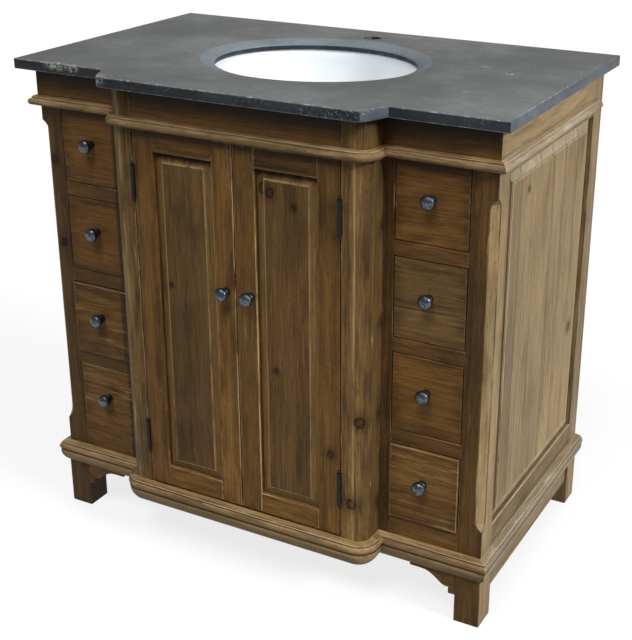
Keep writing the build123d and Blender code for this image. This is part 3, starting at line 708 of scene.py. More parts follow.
@dataclass(frozen=True)
class PineFinish:
    """Waxed reclaimed pine with its colours, rings, knots and wear, and with painted shade and painted
    highlights.

    Attributes:
        under: Share of the painted shadow that hangs below a face's upper edge, as deep as under_reach.
        marks: Place and radius of every large knot.
        nook: X where a painted shade beside a column starts, x where it is at full strength, and its
            share.
        streak: X of a painted highlight line, its half width and its share.
        off_heart: How far a CAD piece lies from the heart of its log, in metres.
    """

    name: str
    dark: Colour
    mid: Colour
    light: Colour
    pale: Colour
    rings: float = 0.36
    stains: float = 0.68
    knots: float = 0.10
    wear: float = 0.26
    edge_wear: float = 0.72
    # Share of the darkening near a face's rims: partly real soiling, partly painted shade.
    grime: float = 0.80
    roughness: float = 0.55
    under: float = 0.0
    under_reach: float = 16.0
    marks: tuple[tuple[float, float, float, float], ...] = ()
    nook: Optional[Point] = None
    streak: Optional[Point] = None
    off_heart: float = 0.05
    sheen: float = 0.16

    def pair(self) -> list[bpy.types.Material]:
        """The version for faces and the version for rubbed arrises."""
        return [self.material(), self.material(worn=True)]

    def material(self, worn: bool = False, axis: Optional[Grain] = None) -> bpy.types.Material:
        """Make or reuse one version of the finish.

        Args:
            worn: Whether it is the version for rubbed arrises.
            axis: Grain axis for a piece without grain places of its own.

        Returns:
            The material.
        """
        label = self.name + (" arris" if worn else "") + (f" {axis.name.lower()}" if axis else "")
        if label in bpy.data.materials:
            return bpy.data.materials[label]
        material, g, shader = new_material(label)
        feeds = {"Reach": self.under_reach * MM}
        if axis is None:
            place, tone = g.layer("grain"), g.layer("tone", "Fac")
            feeds |= {"Place": g.layer("rim"), "Half": g.layer("half")}
        else:
            parts = list(g.split(g.here()))
            along = parts.pop(axis.value)
            place, tone = g.join(parts[0], g.plus(parts[1], self.off_heart), along), 0.0
            feeds["Half"] = (1.0, 1.0, 1.0)
        rims = g.group(GROUPS.rims, feeds | {"Vector": place})
        feeds = {"Vector": place, "Tone": tone, "Rings": self.rings, "Stains": self.stains}
        feeds |= {"Knots": self.knots, "Dark": linear(self.dark), "Mid": linear(self.mid)}
        wood = g.group(GROUPS.pine, feeds | {"Light": linear(self.light)})
        feeds = {"Vector": place, "Color": self._soiled(g, wood["Color"], rims, place)}
        feeds |= {"Pale": linear(self.pale), "Amount": self.edge_wear if worn else self.wear}
        rub = g.group(GROUPS.worn, feeds | {"Rub": g.times(rims["Rub"], self.edge_wear)})
        g.feed(shader.inputs["Base Color"], rub["Color"])
        g.feed(shader.inputs["Roughness"], g.plus(g.times(rub["Mask"], 0.15), self.roughness))
        shader.inputs["Specular IOR Level"].default_value = self.sheen
        relief(g, shader, wood["Height"], 0.35, 0.5)
        return material

    def _soiled(self, g: Graph, colour: Socket, rims: Sockets, place: Socket) -> Socket:
        """Add the large knots, the soiling and painted shade near the rims, the painted shadow, the
        painted shade beside a column and the painted highlight line.

        Args:
            g: Graph of the material.
            colour: Colour of the clean wood.
            rims: Masks along the rim of a face.
            place: Place in the grain.

        Returns:
            The new colour.
        """
        for x, y, z, radius in self.marks:
            feeds = {"Vector": g.here(), "Place": metres((x, y, z)), "Radius": radius * MM}
            colour = g.group(GROUPS.knot, feeds | {"Color": colour})["Color"]
        # Darker near the rims: partly real soiling, partly painted shade.
        soil_and_shade_tint = g.shade(colour, (0.34, 0.31, 0.29, 1.0))
        colour = g.mix(g.times(rims["Grime"], self.grime), colour, soil_and_shade_tint)
        # Painted shadow below the face's upper edge.
        colour = g.mix(g.times(rims["Under"], self.under), colour, linear(PAINTED_SHADE))
        # Painted shade beside a column.
        if self.nook:
            start, black, share = self.nook
            x, _, _ = g.split(g.here())
            inside = g.step(x, start * MM, black * MM)
            colour = g.mix(g.times(inside, share), colour, linear(PAINTED_SHADE))
        # Painted highlight line down a column.
        if self.streak:
            middle, reach, share = self.streak
            x, _, _ = g.split(g.here())
            off = g.math("ABSOLUTE", g.minus(x, middle * MM))
            patchy = g.step(g.noise(place, (70.0, 70.0, 7.0), 3.0, 0.6), 0.40, 0.62)
            line = g.times(g.step(off, reach * MM, 0.0), share)
            colour = g.mix(g.times(line, patchy), colour, linear(self.pale))
        return colour


@dataclass(frozen=True)
class StoneFinish:
    """Honed dark stone with flecks, scuffs and several chipped spots."""

    name: str
    dark: Colour
    mid: Colour
    pale: Colour
    flecks: float = 0.4
    sheen: float = 0.3
    wear: float = 0.22
    edge_wear: float = 0.50
    chips: tuple[tuple[Point, Point], ...] = (
        ((-366.0, -241.0, 886.0), (34.0, 13.0, 13.0)),
        ((-330.0, -241.0, 884.0), (20.0, 12.0, 11.0)),
        ((-244.0, -290.0, 884.0), (26.0, 30.0, 12.0)),
        ((342.0, 52.0, 889.0), (11.0, 7.0, 9.0)),
        ((288.0, 85.0, 889.0), (16.0, 5.0, 9.0)),
        ((330.0, -102.0, 889.0), (9.0, 6.0, 9.0)),
    )

    def material(self, worn: bool = False) -> bpy.types.Material:
        """Make or reuse the face or the arris version.

        Args:
            worn: Whether it is the version for the broken arrises.

        Returns:
            The material.
        """
        label = self.name + (" arris" if worn else "")
        if label in bpy.data.materials:
            return bpy.data.materials[label]
        material, g, shader = new_material(label)
        place = g.here()
        feeds = {"Vector": place, "Dark": linear(self.dark), "Mid": linear(self.mid)}
        feeds |= {"Pale": linear(self.pale), "Flecks": self.flecks}
        stone = g.group(GROUPS.bluestone, feeds)
        colour = stone["Color"]
        for spot, reach in self.chips:
            feeds = {"Vector": place, "Place": metres(spot), "Reach": metres(reach), "Color": colour}
            colour = g.group(GROUPS.chip, feeds)["Color"]
        feeds = {"Vector": place, "Color": colour, "Pale": linear(self.pale)}
        rub = g.group(GROUPS.worn, feeds | {"Amount": self.edge_wear if worn else self.wear})
        g.feed(shader.inputs["Base Color"], rub["Color"])
        g.feed(shader.inputs["Roughness"], stone["Gloss"])
        shader.inputs["Specular IOR Level"].default_value = self.sheen
        relief(g, shader, stone["Height"], 0.25, 0.3)
        return material


@dataclass(frozen=True)
class MetalFinish:
    """Old metal, brighter where it is handled."""

    name: str
    bright: Colour
    dull: Colour
    tarnish: float
    metallic: float
    roughness: float = 0.30
    sheen: float = 0.3

    def material(self) -> bpy.types.Material:
        """Make or reuse the finish."""
        if self.name in bpy.data.materials:
            return bpy.data.materials[self.name]
        material, g, shader = new_material(self.name)
        feeds = {"Vector": g.here(), "Bright": linear(self.bright), "Dull": linear(self.dull)}
        skin = g.group(GROUPS.tarnish, feeds | {"Amount": self.tarnish})
        g.feed(shader.inputs["Base Color"], skin["Color"])
        g.feed(shader.inputs["Roughness"], g.plus(skin["Gloss"], self.roughness))
        shader.inputs["Metallic"].default_value = self.metallic
        shader.inputs["Specular IOR Level"].default_value = self.sheen
        relief(g, shader, skin["Height"], 0.20, 0.15)
        return material


@dataclass(frozen=True)
class GlazeFinish:
    """White glaze over clay, with a faint unevenness."""

    name: str
    white: Colour
    shadow: Colour
    roughness: float
    coat: float = 0.5

    def material(self) -> bpy.types.Material:
        """Make or reuse the finish."""
        if self.name in bpy.data.materials:
            return bpy.data.materials[self.name]
        material, g, shader = new_material(self.name)
        place = g.here()
        flow = g.noise(place, (7.0, 7.0, 7.0), 3.0)
        g.feed(shader.inputs["Base Color"], g.mix(flow, linear(self.white), linear(self.shadow)))
        g.feed(shader.inputs["Roughness"], g.plus(g.times(flow, 0.05), self.roughness))
        shader.inputs["Coat Weight"].default_value = self.coat
        relief(g, shader, g.noise(place, (40.0, 40.0, 40.0), 1.0), 0.04, 0.4)
        return material


class Finish:
    """The finishes of this washstand."""

    FRONT = PineFinish(
        "front pine", (60, 40, 19), (110, 79, 41), (136, 102, 58), (160, 132, 90), edge_wear=0.45,
    )
    POST = PineFinish(
        "post pine", (46, 31, 15), (90, 65, 34), (116, 87, 50), (160, 132, 90), edge_wear=0.5,
        marks=((-411, -209.5, 707, 6),),
    )
    # Its darkened upper part is a painted shadow of the stone top's overhang.
    FRIEZE = PineFinish(
        "frieze pine", (56, 37, 18), (110, 79, 41), (132, 99, 56), (150, 122, 82), edge_wear=0.3,
        under=0.97, under_reach=48.0,
    )
    # Darker below the top edge of each face: painted shadow of the waist moulding.
    DOOR = PineFinish(
        "door pine", (60, 40, 18), (114, 82, 41), (136, 101, 55), (170, 141, 96), edge_wear=0.45,
        under=0.7, marks=((178, -262, 291, 6),),
    )
    # Darker below the top edge: painted shadow of the waist moulding.
    RIDGED = PineFinish(
        "ridged pine", (40, 26, 12), (116, 82, 42), (144, 106, 60), (170, 141, 96), rings=1.0,
        stains=0.8, under=0.8,
    )
    # Darker below the top edge: painted shadow of the waist moulding.
    HANDLED = PineFinish(
        "handled pine", (64, 43, 20), (120, 87, 44), (142, 106, 58), (186, 162, 120), edge_wear=0.62,
        under=0.7,
    )
    PANEL = PineFinish(
        "panel pine", (46, 31, 15), (99, 73, 41), (126, 96, 56), (164, 136, 93), edge_wear=0.75,
        grime=0.55,
        marks=(
            (-150, -260, 538, 6), (-132, -260, 536, 4), (74, -260, 420, 4), (68, -260, 731, 7),
            (112, -260, 712, 4),
        ),
    )
    # Darker at the top of the slope: painted shadow of the door's top rail.
    SLOPE = PineFinish(
        "panel slope pine", (78, 56, 30), (134, 103, 61), (156, 123, 78), (176, 147, 104), grime=0.15,
        under=1.0, under_reach=22.0, marks=((55, -258, 736, 9),),
    )
    # Darker ring on the tongue round a door panel: painted shade in the recess.
    SLOPE_LINE = PineFinish(
        "panel line pine", (56, 39, 20), (98, 71, 39), (114, 85, 49), (130, 102, 64), wear=0.1,
        grime=0.3,
    )
    DRAWER = PineFinish(
        "drawer pine", (56, 36, 17), (112, 78, 38), (136, 99, 53), (162, 134, 92), edge_wear=0.34,
    )
    # Darker below the top edge: painted shadow of the waist moulding on the top drawers.
    TOP_DRAWER = replace(DRAWER, name="top drawer pine", under=0.8)
    PALE_DRAWER = replace(DRAWER, name="pale drawer pine", light=(156, 120, 70), wear=0.4, edge_wear=0.8)
    SAWN_DRAWER = PineFinish(
        "sawn drawer pine", (64, 45, 24), (120, 92, 54), (148, 118, 75), (162, 134, 92), rings=0.8,
        edge_wear=0.34,
    )
    # The darkened head is painted shadow of the stone top; the pale line is a painted highlight down the
    # column.
    COLUMN = PineFinish(
        "column pine", (62, 43, 22), (126, 96, 55), (162, 132, 86), (196, 168, 124), rings=0.5,
        stains=0.85, edge_wear=0.5, under=0.6, under_reach=40.0, streak=(-226, 10, 0.55),
    )
    # Painted shade darkens the rounded side toward the wing, and the pale line is a painted highlight at
    # the arris.
    RIGHT_COLUMN = replace(
        COLUMN, name="right column pine", nook=(227, 243, 0.5), streak=(220, 3.4, 0.8),
        marks=((231, -260, 362, 8.5), (217, -262, 206, 8)),
    )
    FLANK = PineFinish(
        "flank pine", (98, 74, 43), (151, 129, 93), (171, 150, 113), (184, 166, 132), rings=0.5,
        grime=0.5, marks=((430.5, -70, 740, 4), (430.5, 187, 404, 7)),
    )
    # Paler than the flank pine, standing in for light on the panel slopes: a painted highlight.
    FLANK_SLOPE = PineFinish(
        "flank slope pine", (130, 111, 82), (178, 162, 136), (192, 178, 152), (202, 192, 170),
        grime=0.2,
    )
    FLANK_LINE = PineFinish(
        "flank line pine", (60, 40, 20), (98, 71, 40), (116, 88, 54), (150, 124, 86), wear=0.1,
        grime=0.3,
    )
    MOULDING = PineFinish(
        "moulding pine", (84, 62, 38), (142, 116, 79), (170, 144, 104), (196, 174, 136), wear=0.34,
    )
    # Dark pine in the base moulding's grooves: painted shade in the creases.
    GROOVE = PineFinish("groove pine", (44, 31, 18), (66, 49, 30), (80, 60, 38), (100, 80, 54), wear=0.1)
    # Meant for painted shade in the waist moulding's grooves.
    SOFT_GROOVE = PineFinish(
        "soft groove pine", (70, 50, 29), (104, 80, 50), (124, 98, 65), (140, 114, 80), wear=0.1,
    )
    SIDE_MOULDING = PineFinish(
        "side moulding pine", (122, 102, 74), (176, 158, 130), (198, 182, 154), (212, 200, 176),
        wear=0.34, grime=0.4,
    )
    # Painted shade in the grooves of the side lengths.
    SIDE_GROOVE = PineFinish(
        "side groove pine", (84, 64, 40), (118, 96, 66), (136, 113, 82), (150, 128, 96), wear=0.1,
    )
    RAW = PineFinish(
        "raw pine", (120, 90, 55), (168, 134, 90), (190, 160, 116), (196, 172, 132), wear=0.3,
        grime=0.4,
    )
    STONE = StoneFinish("bluestone", (98, 100, 100), (119, 121, 121), (178, 180, 180), sheen=0.10)
    STONE_EDGE = StoneFinish(
        "bluestone edge", (36, 40, 44), (58, 63, 68), (142, 148, 154), 1.0, 0.15, 0.16,
    )
    STONE_SIDE = StoneFinish(
        "bluestone side", (74, 81, 89), (100, 108, 117), (176, 182, 188), 0.8, 0.2, 0.24,
    )
    STONE_LIP = StoneFinish("bluestone lip", (106, 114, 121), (126, 134, 141), (160, 167, 173), 0.2, 0.3)
    GLAZE = GlazeFinish("white glaze", (240, 244, 247), (232, 237, 241), 0.07)
    PEWTER = MetalFinish("pewter", (104, 111, 119), (42, 46, 52), 0.85, 1.0, 0.29)
    PEWTER_QUIRK = MetalFinish("pewter quirk", (34, 36, 40), (16, 17, 19), 0.85, 1.0, 0.45)
    IRON = MetalFinish("black iron", (32, 28, 24), (14, 12, 11), 0.9, 0.3)
    ZINC = MetalFinish("zinc", (176, 178, 180), (130, 132, 134), 0.6, 1.0)


class Dresser:
    """Gives a modelled piece its grain and its place in the frame."""

    LAYERS = {"grain": "FLOAT_VECTOR", "rim": "FLOAT_VECTOR", "half": "FLOAT_VECTOR", "tone": "FLOAT"}
    SHIFTS = ((-0.03, 0.03), (0.025, 0.075), (0.0, 9.0))
    TONE_PLAY = 0.10

    def __init__(self) -> None:
        """Start with no piece placed."""
        self.count = 0

    def place(self, obj: Mesh, role: Role) -> None:
        """Tie a piece to its body and its nodes, and report it."""
        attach(obj, role.body)
        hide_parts(*role.nodes)
        self.count += 1
        log.info("%s: %d faces on %s", obj.name, len(obj.data.polygons), role.body)

    def wood(
        self,
        obj: Mesh,
        grain: Grain,
        role: Role,
        tone: float = 0.0,
        board: Optional[Callable[[Vector], tuple[int, float]]] = None,
    ) -> None:
        """Lay the grain along a piece of pine and put it in its place.

        Args:
            obj: The modelled piece, with its materials on.
            grain: Axis that the grain runs along.
            role: What it stands for.
            tone: Lighter above nought, darker below.
            board: Takes a face's middle in millimetres; gives the number and tone of its glued board.
        """
        mesh = obj.data
        parts = list(zip(*(vert.co for vert in mesh.vertices)))
        box = [(min(values), max(values)) for values in parts]
        middle = Vector([(low + high) / 2 for low, high in box])
        half = [(high - low) / 2 for low, high in box]
        cross = [index for index in range(3) if index != grain.value]
        cross.sort(key=lambda index: -half[index])
        for name, kind in self.LAYERS.items():
            mesh.attributes.new(name, kind, "CORNER")
        grains, rims, halves, tones = (mesh.attributes[name].data for name in self.LAYERS)
        for face in mesh.polygons:
            key, extra = board(face.center / MM) if board else (0, 0.0)
            chance = random.Random(zlib.crc32(f"{obj.name}{key}".encode()))
            shift = Vector([chance.uniform(*span) for span in self.SHIFTS])
            shade = tone + extra + chance.uniform(-self.TONE_PLAY, self.TONE_PLAY)
            facing = max(range(3), key=lambda index: abs(face.normal[index]))
            first, second = [index for index in range(3) if index != facing]
            for loop in face.loop_indices:
                at = mesh.vertices[mesh.loops[loop].vertex_index].co - middle
                grains[loop].vector = Vector((at[cross[0]], at[cross[1]], at[grain.value])) + shift
                rims[loop].vector = (at[first], at[second], 0.0)
                halves[loop].vector = (half[first], half[second], 0.0)
                tones[loop].value = shade
        self.place(obj, role)


BENCH = Bench()
DRESSER = Dresser()


@dataclass(frozen=True)
class Sawn:
    """How a sawn piece of pine is finished: rubbed arrises and slightly uneven faces."""

    grain: Grain
    finish: PineFinish
    role: Role
    edge: float = 1.3
    uneven: float = 0.18
    tone: float = 0.0

    def dress(self, obj: Mesh) -> None:
        """Round, wear and dress a piece that is already shaped."""
        if not obj.data.materials:
            BENCH.coat(obj, self.finish.pair())
        BENCH.soften(obj, self.edge)
        BENCH.wear(obj, self.grain.value, self.uneven)
        DRESSER.wood(obj, self.grain, self.role, self.tone)

    def board(self, name: str, box: Box3) -> None:
        """Model a straight board and dress it."""
        self.dress(BENCH.cube(name, box))


def cut_hinge_pockets(obj: Mesh, x: Span) -> None:
    """Let the hinge leaves into a column or a door stile.

    Args:
        obj: The piece.
        x: Span of the pockets, past the edge of the piece.
    """
    y = (PLAN.centre_y - OVERCUT, PLAN.centre_y + PLAN.leaf_w)
    for z in PLAN.hinges:
        BENCH.carve(obj, BENCH.cube("leaf-cutter", (x, y, z)))


@dataclass
class StoneTop:
    """Slab that follows the breakfront, with an oval cut-out and a tap hole."""

    half: float = 457.0
    back: float = 290.0
    front: float = -290.0
    wing: float = -241.0
    break_back: float = 265.0
    break_front: float = 243.0
    corner_r: float = 22.0
    low: float = 871.0
    thick: float = 18.0
    bowl_y: float = 10.0
    hole: Span = (182.0, 157.0)
    lip: float = 24.0
    lip_drop: float = 7.5
    tap_y: float = 228.0
    tap_r: float = 17.5
    plug: float = 30.0
    flare: tuple[Span, ...] = ((0.3, 2.4), (0.63, 2.5), (1.0, 2.6), (1.0, 6.0))
    arris: float = 1.7
    arc_steps: int = 6
    oval_steps: int = 112
    tap_steps: int = 48

    def outline(self) -> list[Point]:
        """Corners of the slab in plan, the breakfront corners as arcs.

        Returns:
            Points of the underside, right half first.
        """
        slant = Vector((self.break_front - self.break_back, self.front - self.wing)).normalized()
        bend = math.acos(-slant.x)
        reach = self.corner_r * math.tan(bend / 2)
        start = Vector((self.break_front, self.front)) - slant * reach
        normal = Vector((slant.y, -slant.x))
        centre = start + normal * self.corner_r
        first = math.atan2(start.y - centre.y, start.x - centre.x)
        arc = []
        for step in range(self.arc_steps + 1):
            angle = first - bend * step / self.arc_steps
            x, y = self.corner_r * math.cos(angle), self.corner_r * math.sin(angle)
            arc.append((centre.x + x, centre.y + y))
        right = [(self.half, self.back), (self.half, self.wing), (self.break_back, self.wing), *arc]
        left = [(-x, y) for x, y in reversed(right)]
        return [(x, y, self.low) for x, y in right + left]

    def in_lip(self, at: Vector) -> bool:
        """Whether a place lies inside the outer line of the lip."""
        wide, deep = (half + self.lip + 1 for half in self.hole)
        return (at.x / wide) ** 2 + ((at.y - self.bowl_y) / deep) ** 2 < 1

    def oval_cutter(self) -> Mesh:
        """Oval plug whose upper part flares into the rounded lip.

        Returns:
            The cutter.
        """
        BENCH.clear()
        edge_z = self.low + self.thick - self.lip_drop
        middle = metres((0, self.bowl_y, edge_z - self.plug / 2))
        bpy.ops.mesh.primitive_cylinder_add(
            vertices=self.oval_steps, radius=1.0, depth=1.0, location=middle
        )
        obj = bpy.context.object
        obj.scale = metres((*self.hole, self.plug))
        BENCH.settle("oval-cutter")
        BENCH.pick(obj, Pick.FACES, lambda at: at.z > edge_z - 0.1)
        wide = 0.0
        for share, rise in self.flare:
            BENCH.push((0, 0, rise))
            new = self.lip * share
            grow = [(half + new) / (half + wide) for half in self.hole]
            BENCH.scale((*grow, 1), (0, self.bowl_y, 0))
            wide = new
        BENCH.done()
        return obj

    def build(self) -> None:
        """Model the slab, cut it and dress it."""
        obj = BENCH.draw("stone-slab", self.outline())
        BENCH.push((0, 0, self.thick))
        BENCH.done()
        BENCH.close(obj)
        BENCH.carve(obj, self.oval_cutter())
        BENCH.clear()
        middle = metres((0, self.tap_y, self.low))
        bpy.ops.mesh.primitive_cylinder_add(
            vertices=self.tap_steps, radius=self.tap_r * MM, depth=2 * self.plug * MM, location=middle
        )
        BENCH.carve(obj, BENCH.settle("tap-cutter"))
        others = (Finish.STONE_EDGE, Finish.STONE_LIP, Finish.STONE_SIDE)
        materials = [Finish.STONE.material(), Finish.STONE.material(worn=True)]
        BENCH.coat(obj, materials + [finish.material() for finish in others])
        BENCH.soften(obj, self.arris)
        edge, lip, flank = 2, 3, 4
        BENCH.paint(obj, edge, lambda at, normal: abs(normal.z) < 0.1)
        BENCH.paint(obj, lip, lambda at, normal: 0.1 < normal.z < 0.97 and self.in_lip(at))
        BENCH.paint(obj, flank, lambda at, normal: abs(normal.x) > 0.5 and not self.in_lip(at))
        BENCH.smooth(obj, 26)
        DRESSER.place(obj, Role(ROOT, ("stone_top",), "stone"))


@dataclass
class OvalBasin:
    """Glazed bowl with a flange under the stone and a round waste outlet."""

    rim_z: float = 869.5
    centre_y: float = 10.0
    squash: float = 157.0 / 182.0
    flange: float = 206.0
    flange_t: float = 12.5
    rim: float = 184.0
    depth: float = 148.0
    wall: float = 9.0
    drain: float = 22.5
    boss: float = 12.0
    steps: int = 72
    curve: tuple[Span, ...] = (
        (0.995, 0.12), (0.985, 0.22), (0.962, 0.36), (0.93, 0.48), (0.878, 0.61), (0.80, 0.74),
        (0.70, 0.84), (0.58, 0.91), (0.43, 0.965), (0.28, 0.992),
    )

    def section(self) -> list[Point]:
        """Closed section of the casting, from the waste bore up the inside and down the outside.

        Returns:
            Points on the plane through the centre, to the right of it.
        """
        floor = self.rim_z - self.depth
        inner = [(self.rim * share, self.rim_z - self.depth * drop) for share, drop in self.curve]
        outer = []
        for share, drop in self.curve:
            level = self.rim_z - (self.depth + self.wall) * drop
            if level < self.rim_z - self.flange_t - 2:
                outer.append((self.rim * share + self.wall * (1 - 0.6 * drop), level))
        under = floor - self.wall
        below = self.rim_z - self.flange_t
        boss_r = self.drain + self.wall
        points = [(self.drain, floor - 1.5), (self.drain + 6, floor + 0.2), *reversed(inner)]
        points += [(self.rim, self.rim_z - 2.0), (self.rim + 1.5, self.rim_z), (self.flange, self.rim_z)]
        points += [(self.flange, below), (outer[0][0] + 1.0, below), *outer]
        points += [(boss_r, under), (boss_r, under - self.boss), (self.drain, under - self.boss)]
        return [(x, self.centre_y, z) for x, z in points]

    def in_outlet(self, at: Vector) -> bool:
        """Whether a place of the oval bowl belongs to the waste outlet, which stays round."""
        away = math.hypot(at.x, (at.y - self.centre_y) / self.squash)
        return away < self.drain + self.wall + 0.5

    def build(self) -> None:
        """Spin the section, squeeze it to an oval and dress it."""
        points = self.section()
        obj = BENCH.draw("oval-basin", points + [points[0]], fill=False)
        BENCH.turn((0, self.centre_y), 360, self.steps)
        BENCH.done()
        BENCH.close(obj)
        BENCH.edit(obj, Pick.VERTS)
        pivot = (0, self.centre_y, 0)
        BENCH.scale((1, self.squash, 1), pivot)
        BENCH.done()
        BENCH.pick(obj, Pick.VERTS, self.in_outlet)
        BENCH.scale((1, 1 / self.squash, 1), pivot)
        BENCH.done()
        BENCH.close(obj)
        BENCH.smooth(obj, 40)
        BENCH.coat(obj, [Finish.GLAZE.material()])
        DRESSER.place(obj, Role(ROOT, ("basin",), "basin_white"))


@dataclass
class CornerPosts:
    """Four posts in one length with their legs; the front ones have a stopped chamfer."""

    chamfer: float = 13.0
    low: Span = (183.5, 207.0)
    high: tuple[Span, Span] = ((759.0, 777.0), (742.0, 761.0))
    scoop: tuple[Span, ...] = ((0.0, 0.0), (0.25, 0.5), (0.6, 0.9), (1.0, 1.0))
    proud: float = 4.0
    tones: Span = (-0.05, 0.05)

    def stack(self, name: str, side: Side, front: bool) -> Mesh:
        """Start with the leg and extrude the shaft and, in front, the head, each set back.

        Args:
            name: Name of the post.
            side: Which side it stands on.
            front: Whether it is a front post.

        Returns:
            The post with sharp arrises.
        """
        y = (PLAN.face_y, PLAN.post_in_y) if front else (PLAN.rear_post_y, PLAN.rear_y)
        obj = BENCH.cube(name, (side.span(PLAN.post_in_x, PLAN.face_x), y, (0, PLAN.leg_top)))
        inner = (side.value * PLAN.post_in_x, PLAN.post_in_y if front else PLAN.rear_post_y, 0)
        stages = [(PLAN.shaft_x, PLAN.shaft_y, PLAN.waist), (PLAN.head_x, PLAN.head_y, PLAN.top)]
        if not front:
            stages = [(PLAN.shaft_x, PLAN.shaft_y, PLAN.top)]
        old_x, old_y, old_z = PLAN.face_x, PLAN.face_y, PLAN.leg_top
        for new_x, new_y, new_z in stages:
            BENCH.pick(obj, Pick.FACES, lambda at, level=old_z: at.z > level - 0.01)
            BENCH.push((0, 0, 0))
            wide = (new_x - PLAN.post_in_x) / (old_x - PLAN.post_in_x)
            deep = (new_y - PLAN.post_in_y) / (old_y - PLAN.post_in_y) if front else 1
            BENCH.scale((wide, deep, 1), inner)
            BENCH.push((0, 0, new_z - old_z))
            BENCH.done()
            old_x, old_y, old_z = new_x, new_y, new_z
        return obj

    def chamfer_cutter(self, side: Side) -> Mesh:
        """Prism on the outer arris whose ends run out to a point.

        Args:
            side: Which side's post it cuts.

        Returns:
            The cutter.
        """
        corner_x = side.value * (PLAN.shaft_x + self.proud)
        corner_y = PLAN.shaft_y - self.proud
        start, whole = self.low
        full, tip = side.choose(*self.high)
        rows = [(start + (whole - start) * rise, share) for rise, share in self.scoop]
        rows += [(tip - (tip - full) * rise, share) for rise, share in reversed(self.scoop)]
        legs = [(level, 2 * self.proud + self.chamfer * share) for level, share in rows]
        level, leg = legs[0]
        plan = [(corner_x, corner_y), (corner_x - side.value * leg, corner_y), (corner_x, corner_y + leg)]
        obj = BENCH.draw("chamfer-cutter", [(x, y, level) for x, y in plan])
        for (old_z, old), (new_z, new) in zip(legs, legs[1:]):
            BENCH.push((0, 0, new_z - old_z))
            BENCH.scale((new / old, new / old, 1), (corner_x, corner_y, 0))
        BENCH.done()
        BENCH.close(obj)
        return obj

    def build(self) -> None:
        """Model and dress the four posts."""
        for side in Side:
            for front in (True, False):
                row = "front" if front else "back"
                obj = self.stack(f"{side.word}-{row}-post", side, front)
                BENCH.coat(obj, Finish.POST.pair() + Finish.FLANK.pair())
                if front:
                    BENCH.carve(obj, self.chamfer_cutter(side))
                    BENCH.paint(obj, 2, lambda at, normal: 0.3 < abs(normal.x) < 0.9 and normal.y < -0.3)
                way = side.value
                BENCH.paint(obj, 2, lambda at, normal: normal.x * way > 0.9 or at.y > 0)
                role = Role(ROOT, (f"{side.word}_{row}_post",), "frame_wood")
                Sawn(Grain.UP, Finish.POST, role, 1.2, 0.2, side.choose(*self.tones)).dress(obj)


